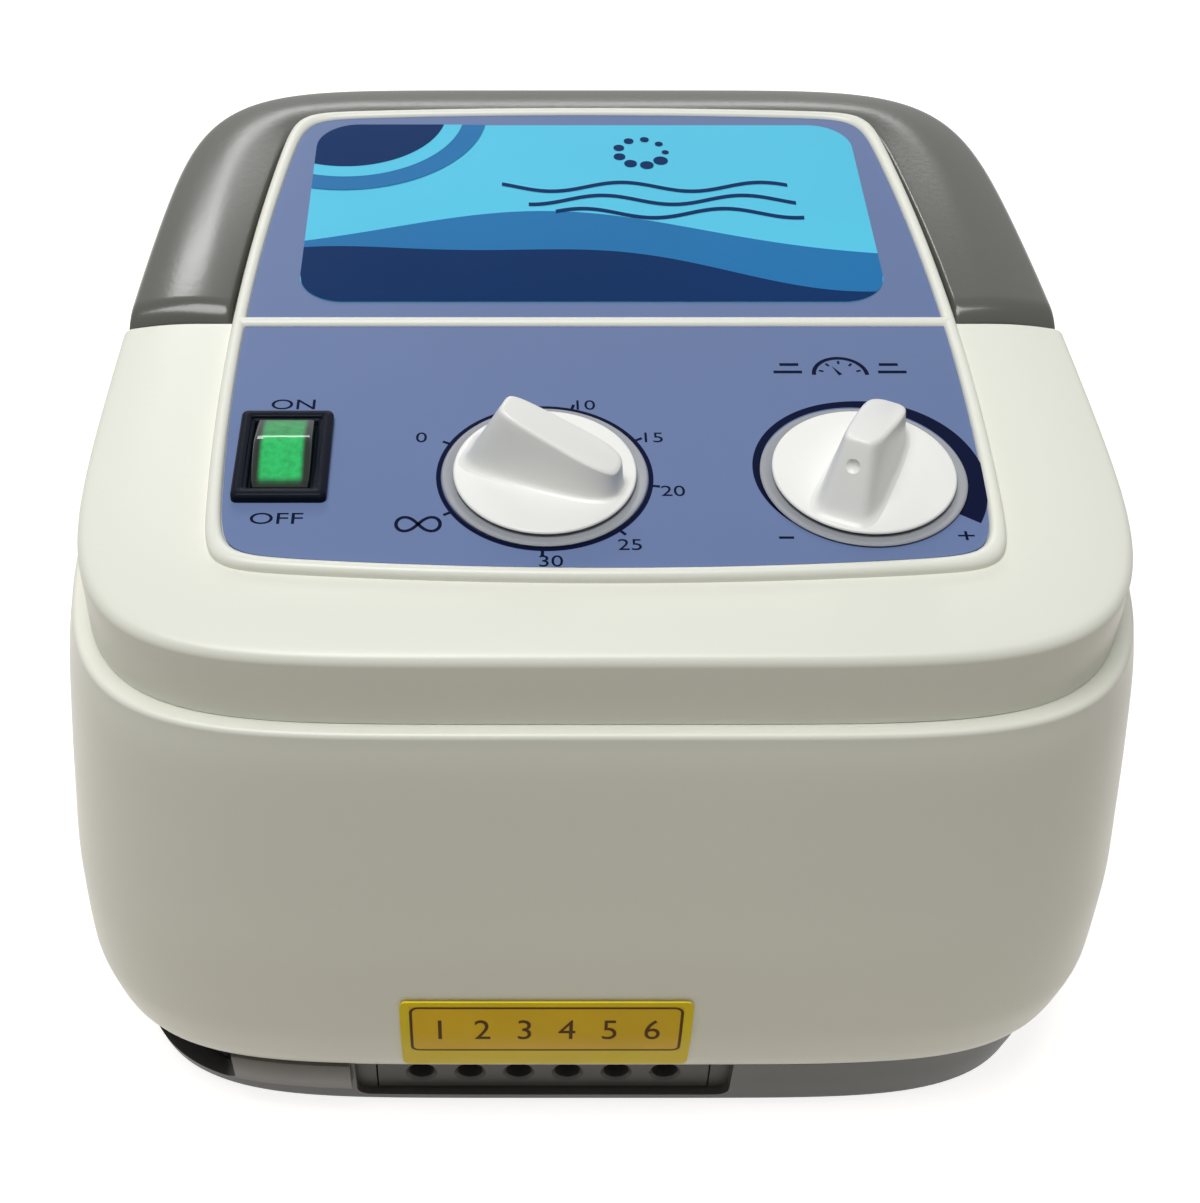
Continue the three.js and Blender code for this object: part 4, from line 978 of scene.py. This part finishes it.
def make_panel_print():
    switch_low, switch_high, switch_middle, _ = box_mm("switch_body")
    inks = []

    def add(points, faces, x=0.0, y=0.0):
        points = [(px + x, py + y, PRINT_Z) for px, py in points]
        inks.append(make_piece("print", points, faces, "ink_navy"))

    def add_tick(degrees, first, last, half, x, y):
        c, s = math.cos(math.radians(degrees)), math.sin(math.radians(degrees))
        add(*band(*[[(r * c - w * s, r * s + w * c) for r in (first, last)] for w in (-half, half)]), x, y)

    dial_y = KNOB_ROW + 0.2
    add(*letters("ON", 2.6, 1.35), switch_middle[0] + 0.6, switch_high[1] + 2.9)
    add(*letters("OFF", 2.6, 1.35), switch_middle[0], switch_low[1] - 3.7)
    add(*arc_band(0, 360, *DIAL_RADII, 160), TIMER_X, dial_y)
    for text, x, y in DIAL_TEXTS:
        add(*letters(text, 2.5, 1.15), x, y)
    for degrees in DIAL_DEGREES:
        add_tick(degrees, DIAL_RADII[1], DIAL_RADII[1] + 1.1, 0.25, TIMER_X, dial_y)
    add(*endless_loop(3.4, 4.4, 0.56), *ENDLESS_PLACE)
    first, last = SCALE_DEGREES[0], SCALE_DEGREES[-1]
    shares = [(first - degrees) / (first - last) for degrees in SCALE_DEGREES]

    def scale_outer(share):
        return smooth_table(shares, SCALE_OUTER, share)

    add(*arc_band(first, last, SCALE_INNER, scale_outer, 160), *SCALE_MIDDLE)
    add(*letters("-", 3.8, 1.8), *MINUS_PLACE)
    add(*letters("+", 3.0, 1.3), *PLUS_PLACE)
    gauge_x, gauge_y = GAUGE_PLACE
    add(*arc_band(0, 180, 4.1, 4.8, 60), gauge_x, gauge_y)
    for degrees in (18, 54, 90, 126, 162):
        add_tick(degrees, 2.9, 3.7, 0.2, gauge_x, gauge_y)
    needle = math.radians(118)
    c, s = math.cos(needle), math.sin(needle)
    tip = (2.6 * c, 2.6 * s)
    add(*band([(0.35 * s, -0.35 * c), tip], [(-0.35 * s, 0.35 * c), tip]), gauge_x, gauge_y)
    for row, y in enumerate((gauge_y + 0.4, gauge_y + 2.4)):
        for side in (-1, 1):
            ends = (side * (6.4 + row * 0.4), side * (11.2 - row * 1.2))
            add(*band(*[[(x, at) for x in ends] for at in (y, y + 0.7)]), gauge_x, 0)
    place(join(inks, "panel_print"), "case", "panel_blue")


# Display label: a plain design of waves and ripples
LABEL_HALF = 52.0
LABEL_LOW = 2.4
LABEL_HIGH = 60.4
LABEL_CORNER = 8.0
LABEL_THICK = 0.14


def label_low(x):
    return LABEL_LOW + rounded_edge(x, -LABEL_HALF, LABEL_HALF, LABEL_CORNER)


def label_high(x):
    return LABEL_HIGH - rounded_edge(x, -LABEL_HALF, LABEL_HALF, LABEL_CORNER)


def label_layer(name, x0, x1, low, high, level, finish, steps=240):
    """A flat shape between two lines, cut to the label's outline."""
    xs = np.linspace(x0, x1, steps)
    lower = [(x, float(np.clip(low(x), label_low(x), label_high(x)))) for x in xs]
    upper = [(x, float(np.clip(high(x), label_low(x), label_high(x)))) for x in xs]
    points, faces = band(lower, upper)
    height = OVERLAY_TOP + LABEL_THICK + 0.04 * level
    return make_piece(name, [(x, y, height) for x, y in points], faces, finish)


def make_display_label():
    outline = rounded_rectangle(LABEL_HALF, (LABEL_HIGH - LABEL_LOW) / 2, LABEL_CORNER, 16)
    middle = (LABEL_HIGH + LABEL_LOW) / 2
    base = loft("display_label", [[(x, middle + y, z) for x, y in outline]
                                  for z in (OVERLAY_TOP + 0.02, OVERLAY_TOP + LABEL_THICK)], "art_cyan")
    place(base, "case", "display_print")

    def hill(x):
        return 13.5 + 6.5 * math.sin(x / 26 + 2.6) + 2.0 * math.sin(x / 11 + 0.6)

    def swell(x):
        return 21.0 + 8.0 * math.sin(x / 30 + 1.9) + 1.5 * math.sin(x / 13 + 2.1)

    def circle(radius, x_middle, y_middle, sign):
        return lambda x: y_middle + sign * math.sqrt(max(0.0, radius ** 2 - (x - x_middle) ** 2))

    def breeze(row, side):
        return lambda x: 38.5 - 4.4 * row + 0.55 * side + 1.5 * math.sin(x / 4.2 + 0.9 * row)

    layers = [label_layer("swell", -LABEL_HALF, LABEL_HALF, label_low, swell, 1, "art_mid"),
              label_layer("hill", -LABEL_HALF, LABEL_HALF, label_low, hill, 2, "art_navy")]
    ripple_x = -LABEL_HALF + 6
    for level, (radius, finish) in enumerate(((27, "art_mid"), (22.5, "art_cyan"), (19, "art_navy")), 3):
        layers.append(label_layer("ripple", -LABEL_HALF, ripple_x + radius,
                                  circle(radius, ripple_x, LABEL_HIGH + 4, -1), label_high, level, finish))
    for k in range(3):
        layers.append(label_layer("breeze", -16 + 5 * k, 38 + k, breeze(k, -1), breeze(k, 1), 3, "art_navy"))
    for k in range(9):
        angle = 2 * math.pi * k / 9
        radius = 0.7 + 0.09 * k
        x, y = 11 + 4.6 * math.cos(angle), 50.5 + 4.6 * math.sin(angle)
        edges = [circle(radius, x, y, side) for side in (-1, 1)]
        layers.append(label_layer("dot", x - radius, x + radius, *edges, 3, "art_navy", 24))
    place(join(layers, "display_art"), "case", "display_print")


# Knobs and collars
WING_HALF = 12.8
WING_TALL = 11.7
WING_LOW = 4.9
WING_TALL_TOP = -7.0
KNOB_RADIUS = 14.5


def knob_disc(low, top, centre):
    edge = 0.4
    profile = [(0, low), (KNOB_RADIUS - 0.3, low), (KNOB_RADIUS, low + 0.3), (KNOB_RADIUS, top - edge)]
    profile += [(KNOB_RADIUS - edge + edge * math.cos(a), top - edge + edge * math.sin(a))
                for a in quarter_turn(5, 1)]
    profile += [(KNOB_RADIUS * 0.6, top + 0.03), (0, top + 0.04)]
    return lathe("disc", profile, centre, "knob_white", 144)


def wing_ring(tall_end, low_end, tall_width, low_width, count=96):
    """Plan of the wing: blunt at its tall end, narrower and rounder at the low one."""
    points = []
    for t in full_turn(count):
        c, s = math.cos(t), math.sin(t)
        power = 3.2 if c > 0 else 5.0
        radius = (abs(c) ** power + abs(s) ** power) ** (-1 / power)
        share = (radius * c + 1) / 2
        width = tall_width + (low_width - tall_width) * share
        points.append((tall_end + (low_end - tall_end) * share, width * radius * s))
    return points


def make_wing(x, turn, disc_top):
    def crest(px):
        share = (max(px, WING_TALL_TOP) - WING_TALL_TOP) / (WING_HALF - WING_TALL_TOP)
        return WING_TALL + (WING_LOW - WING_TALL) * share - 0.5 * max(0.0, share - 0.8) ** 2 / 0.04

    levels = [(-0.03, 1.1, 0), (0.0, 0.8, 0), (0.015, 0.5, 0), (0.04, 0.24, 0), (0.075, 0.07, 0)]
    levels += [(height, 0, 0) for height in (0.12, 0.25, 0.4, 0.55, 0.7, 0.8, 0.88, 0.935)]
    rounding = 0.62
    levels += [(0.935 + 0.065 * math.sin(a), 0, rounding * (1 - math.cos(a))) for a in quarter_turn(5, 1)]
    sections = []
    for height, flare, inset in levels:
        ends = (-WING_HALF + (WING_HALF + WING_TALL_TOP) * height, WING_HALF - 0.35 * height)
        widths = (5.1 - 2.3 * height, 4.4 - 0.8 * height)
        grown = flare - inset
        ring = wing_ring(ends[0] - grown, ends[1] + grown, widths[0] + grown, widths[1] + grown)
        sections.append([(px, py, disc_top + height * crest(px)) for px, py in ring])
    cos_turn, sin_turn = math.cos(turn), math.sin(turn)
    turned = [[(x + px * cos_turn - py * sin_turn, KNOB_ROW + px * sin_turn + py * cos_turn, z)
               for px, py, z in ring] for ring in sections]
    return loft("wing", turned, "knob_white")


def make_knob(name, node, body, x, pointing, dimple):
    low, high = box_mm(node)[:2]
    disc_top = high[2] - WING_TALL
    turn = math.radians(pointing - 180)
    disc = knob_disc(low[2], disc_top, (x, KNOB_ROW))
    wing = make_wing(x, turn, disc_top)
    if dimple:
        radius, height = 1.5, 0.66 * WING_TALL
        slope = (WING_HALF + WING_TALL_TOP) / WING_TALL
        along = -WING_HALF + slope * height - 0.55 * radius
        spot = (x + along * math.cos(turn), KNOB_ROW + along * math.sin(turn))
        middle = disc_top + height + 0.3 * radius
        turns = [math.pi * k / 16 for k in range(1, 16)]
        ball = [(radius * math.sin(t), middle - radius * math.cos(t)) for t in turns]
        ball = [(0, middle - radius), *ball, (0, middle + radius)]
        carve(wing, [lathe("dimple", ball, spot, "knob_white", 32)])
    place(join([disc, wing], name), body, "knob_white", node, sharp=45)


def make_collar(name, node):
    low, high, middle, half = box_mm(node)
    radius, bore, top = half[0], 4.5, high[2]
    profile = [(bore, low[2]), (radius, low[2]), (radius, top - 0.2), (radius - 0.2, top - 0.02),
               (radius - 0.9, top), (radius - 1.1, top - 0.12), (bore, top - 0.12)]
    place(lathe(name, profile, middle, "collar_grey", 144), "case", "collar_grey", node)


# Rocker switch
SWITCH_FRAME = 2.4


def make_switch():
    low, high, middle, half = box_mm("switch_body")
    top = high[2]
    rings = []
    for inset, z in ((0, OVERLAY_TOP + 0.05), (0, top - 0.6), (0.12, top - 0.25), (0.4, top - 0.05),
                     (0.8, top), (1.5, top), (1.7, top - 0.12), (1.75, top - 0.45), (2.2, top - 0.5),
                     (SWITCH_FRAME, top - 0.75), (SWITCH_FRAME, top - 6.5)):
        corner = max(0.35, 1.0 - inset * 0.3)
        rings.append([(middle[0] + x, middle[1] + y, z)
                      for x, y in rounded_rectangle(half[0] - inset, half[1] - inset, corner, 6)])
    bezel = loft("bezel", rings, "gloss_black")
    body = box_piece("body", (middle[0] - 6.5, middle[1] - 9.5, low[2]),
                     (middle[0] + 6.5, middle[1] + 9.5, OVERLAY_TOP - 4.6), "gloss_black")
    place(join([bezel, body], "switch_housing"), "case", "switch_black", "switch_body", sharp=50)


def make_rocker_finish():
    """Clear rocker with a green lamp below its middle: bright in the middle, nearly black at the sides."""
    tree, shader = new_finish("rocker_lens")
    middle = box_mm("switch_rocker")[2] * MM
    at = object_place(tree)
    split = add_node(tree, "SeparateXYZ", Vector=at).outputs

    def fade(value, start, end, first, last):
        ends = {"From_Min": start, "From_Max": end, "To_Min": first, "To_Max": last}
        return add_node(tree, "MapRange", Value=value, **ends)

    def window(value, centre, half, soft):
        """1 within half a width of a centre, falling softly to 0 outside."""
        off_centre = maths(tree, "ABSOLUTE", maths(tree, "SUBTRACT", value, centre))
        fall = fade(off_centre, half - soft, half + soft, 1.0, 0.0)
        fall.interpolation_type = "SMOOTHSTEP"
        return fall.outputs["Result"]

    lamp = maths(tree, "MULTIPLY", window(split["X"], middle[0], 3.35 * MM, 0.5 * MM),
                 window(split["Y"], middle[1] + 0.2 * MM, 6.9 * MM, 0.9 * MM))
    rear = fade(split["Y"], middle[1] + 1.4 * MM, middle[1] + 2.6 * MM, 1.0, 0.6)
    specks = add_node(tree, "TexNoise", Vector=at, Scale=900, Detail=3).outputs["Fac"]
    for share in (rear, fade(specks, 0.3, 0.7, 0.72, 1.1)):
        lamp = maths(tree, "MULTIPLY", lamp, share.outputs["Result"])
    colour = colour_ramp(tree, lamp, srgb(6, 22, 14), srgb(20, 182, 92))
    set_inputs(tree, shader, Base_Color=colour, Emission_Color=colour, Emission_Strength=0.25,
               Roughness=0.07, Specular_IOR_Level=0.12, Coat_Weight=0.55, Coat_Roughness=0.05)


def make_rocker():
    """Two faces that fall away from a rounded crest, with rounded sides."""
    joint = next(j for j in frame["joints"] if j["name"] == "rocker_tilt")
    pivot = np.array(joint["pos_m"]) / MM
    _, switch_high, _, switch_half = box_mm("switch_body")
    pivot_z = switch_high[2] - 3.0
    half_length, half_width = switch_half[1] - SWITCH_FRAME - 0.6, 4.75
    rise, drop, edge, swing = 4.6, 2.0, 0.7, math.radians(-9)
    crest_y, crest_round = 1.2, 1.0
    front_slope, rear_slope = math.tan(math.radians(26)), math.tan(math.radians(9))
    front_end, rear_end = 0.6, 2.8

    def section(inset):
        end, lower = half_length - inset * 0.6, inset * 0.3
        points = [(-half_length + drop, -drop), (half_length - drop, -drop), (end, -0.5),
                  (end, rear_end - lower)]
        for y in np.linspace(end - 0.5, 0.5 - end, 33):
            slope = rear_slope if y > crest_y else front_slope
            fall = math.hypot((y - crest_y) * slope, crest_round) - crest_round
            points.append((y, rise - fall - inset))
        return [*points, (-end, front_end - lower), (-end, -0.5)]

    turns = [math.radians(a) for a in (0, 20, 40, 60, 80, 90)]
    side = [(edge * (1 - math.cos(a)) - half_width, edge * (1 - math.sin(a))) for a in turns]
    stations = [*side, *[(x, 0) for x in np.linspace(-3, 3, 5)],
                *[(-x, inset) for x, inset in reversed(side)]]
    c, s = math.cos(swing), math.sin(swing)
    sections = [[(pivot[0] + x, pivot[1] + y * c - z * s, pivot_z + y * s + z * c)
                 for y, z in section(inset)] for x, inset in stations]
    place(loft("rocker_lens", sections, "rocker_lens"), "rocker", "rocker_green", "switch_rocker", sharp=25)


# Front strip beside the opening, feet and screws
def make_strip():
    low, high = box_mm("front_strip")[:2]
    z0, z1 = low[2] + 0.1, high[2] - 0.1
    rows = [(0.0, z0 + 0.3), (0.9, z0), (1.05, z0 + 0.25), (1.05, z1 - 0.35), (0.9, z1), (0.0, z1)]
    sections = [[(x, front_y(x, tray_outside(z) + GAP + 0.05 + proud), z) for proud, z in rows]
                for x in np.linspace(low[0] + 0.1, high[0] - 0.1, 40)]
    place(loft("tray_strip", sections, "strip_grey"), "case", "strip_grey", "front_strip")


def make_feet_and_screws():
    for corner in CORNERS:
        node = f"foot_{corner}"
        _, high, middle, (radius, _, _) = box_mm(node)
        profile = [(0, 0.0), (radius - 1.6, 0.0), (radius - 0.8, 0.1), (radius - 0.2, 0.5), (radius, 1.1),
                   (radius, high[2]), (0, high[2])]
        place(lathe(f"rubber_{node}", profile, middle, "rubber"), "case", "foot_rubber", node)
        node = f"case_screw_{corner}"
        low, high, middle, (radius, _, _) = box_mm(node)
        foot = low[2]
        head, shank = foot + 2.2, 1.6
        profile = [(0, foot), (radius * 0.6, foot + 0.05), (radius * 0.88, foot + 0.35),
                   (radius, foot + 0.9), (radius, head), (shank, head), (shank, high[2] - 1),
                   (0.4, high[2]), (0, high[2])]
        screw = lathe(f"steel_{node}", profile, middle, "steel", 48)
        cross = [box_piece("cross", (middle[0] - a, middle[1] - b, foot - 1),
                           (middle[0] + a, middle[1] + b, foot + 1.1), "steel")
                 for a, b in ((2.0, 0.4), (0.4, 2.0))]
        place(carve(screw, cross), "case", "steel", node)


# Rear inlet
def make_inlet():
    low, high, middle, half = box_mm("mains_inlet")
    face = high[1]
    rings = []
    for inset, corner, y in ((3.2, 1, low[1]), (3.2, 1, face - 2), (0, 2, face - 2), (0, 2, face - 0.5),
                             (0.2, 1.9, face - 0.15), (0.6, 1.7, face)):
        rings.append(upright(rounded_rectangle(half[0] - inset, half[2] - inset, corner, 6), middle, y))
    body = loft("inlet", rings, "matte_black")

    def cavity_outline(inset):
        a, b, chamfer = 12.0 - inset, 8.0 - inset, 4.5
        return [(-a, -b), (a, -b), (a, b - chamfer), (a - chamfer, b), (-a + chamfer, b), (-a, b - chamfer)]

    cavity = [upright(cavity_outline(inset), middle, face + out)
              for inset, out in ((-0.5, 2), (-0.5, 0), (0, -0.6), (0, -13))]
    carve(body, [loft("cavity", cavity, "matte_black")])
    place(body, "case", "switch_black", "mains_inlet", sharp=30)
    for node in ("inlet_blade_left", "inlet_blade_right"):
        blade = soften(box_piece(f"brass_{node}", *box_mm(node)[:2], "brass"), 0.45)
        place(blade, "case", "brass", node)


make_lower_shell()
make_top_cover()
make_handle()
make_tray()
make_port_block()
make_port_label()
make_overlays()
make_panel_print()
make_display_label()
make_knob("timer_knob_body", "timer_knob", "timer", TIMER_X, 157, False)
make_knob("pressure_knob_body", "pressure_knob", "pressure", PRESSURE_X, 245, True)
make_collar("timer_ring", "timer_collar")
make_collar("pressure_ring", "pressure_collar")
make_switch()
make_rocker_finish()
make_rocker()
make_strip()
make_feet_and_screws()
make_inlet()

# CAD nodes that stay as they are get the finish named as their slot, or the one named here
SLOT_FINISH = {"ivory_shell": "ivory", "display_print": "art_cyan", "switch_black": "gloss_black",
               "rocker_green": "art_mid", "copper": "copper_winding", "foot_rubber": "rubber"}
slot_of = {part["node"]: part["material_slot"] for part in frame["record"]["subparts"]}
for node, cad in frame["nodes"].items():
    cad.data.materials.clear()
    cad.data.materials.append(FINISH[SLOT_FINISH.get(slot_of[node], slot_of[node])])
    cad.data.polygons.foreach_set("use_smooth", [True] * len(cad.data.polygons))
    cad.data.set_sharp_from_angle(angle=math.radians(32))


# Floor, lamps and world
FLOOR_COLOUR = (0.62, 0.57, 0.49, 1)
FLOOR_GLOW = 0.85
WORLD_FILL = 0.11


def seen_by(tree, *rays):
    """1 for the named kinds of ray, and 0 for the light that falls on the part."""
    path = tree.nodes.new("ShaderNodeLightPath").outputs
    seen = path[rays[0]]
    for ray in rays[1:]:
        seen = maths(tree, "MAXIMUM", seen, path[ray])
    return seen


def make_floor():
    bpy.ops.mesh.primitive_plane_add(size=8)
    floor = bpy.context.object
    floor.name = "floor"
    tree, shader = new_finish("floor")
    set_inputs(tree, shader, Base_Color=FLOOR_COLOUR, Roughness=0.9, Specular_IOR_Level=0.1)
    share = maths(tree, "MULTIPLY", seen_by(tree, "Is Camera Ray", "Is Glossy Ray"), FLOOR_GLOW)
    glow = add_node(tree, "Emission", Color=(1, 1, 1, 1), Strength=share)
    both = tree.nodes.new("ShaderNodeAddShader")
    feed(tree, both.inputs[0], shader.outputs["BSDF"])
    feed(tree, both.inputs[1], glow.outputs["Emission"])
    feed(tree, tree.nodes["Material Output"].inputs["Surface"], both.outputs["Shader"])
    floor.data.materials.append(FINISH["floor"])


def make_lamp(name, location, target, size, power):
    data = bpy.data.lights.new(name, "AREA")
    data.shape = "RECTANGLE"
    data.size, data.size_y = size
    data.energy = power
    lamp = bpy.data.objects.new(name, data)
    lamp.location = location
    lamp.rotation_euler = (Vector(target) - Vector(location)).to_track_quat("-Z", "Y").to_euler()
    bpy.context.scene.collection.objects.link(lamp)


def make_world():
    world = bpy.data.worlds.new("world")
    bpy.context.scene.world = world
    world.use_nodes = True
    tree = world.node_tree
    seen = seen_by(tree, "Is Camera Ray", "Is Transmission Ray", "Is Glossy Ray")
    strength = add_node(tree, "MapRange", Value=seen, To_Min=WORLD_FILL, To_Max=1.0)
    set_inputs(tree, tree.nodes["Background"], Strength=strength.outputs["Result"], Color=(1, 1, 1, 1))


make_floor()
make_world()
make_lamp("top_lamp", (-0.15, -0.15, 1.25), (0, 0, 0.08), (0.6, 0.6), 10.5)
make_lamp("left_lamp", (-0.32, 1.04, 0.79), (-0.07, 0.02, 0.12), (0.2, 0.14), 0.95)
make_lamp("back_lamp", (0, 1.3, 0.73), (0, 0, 0.12), (0.7, 0.12), 1.8)

bpy.context.scene.view_settings.view_transform = "Standard"
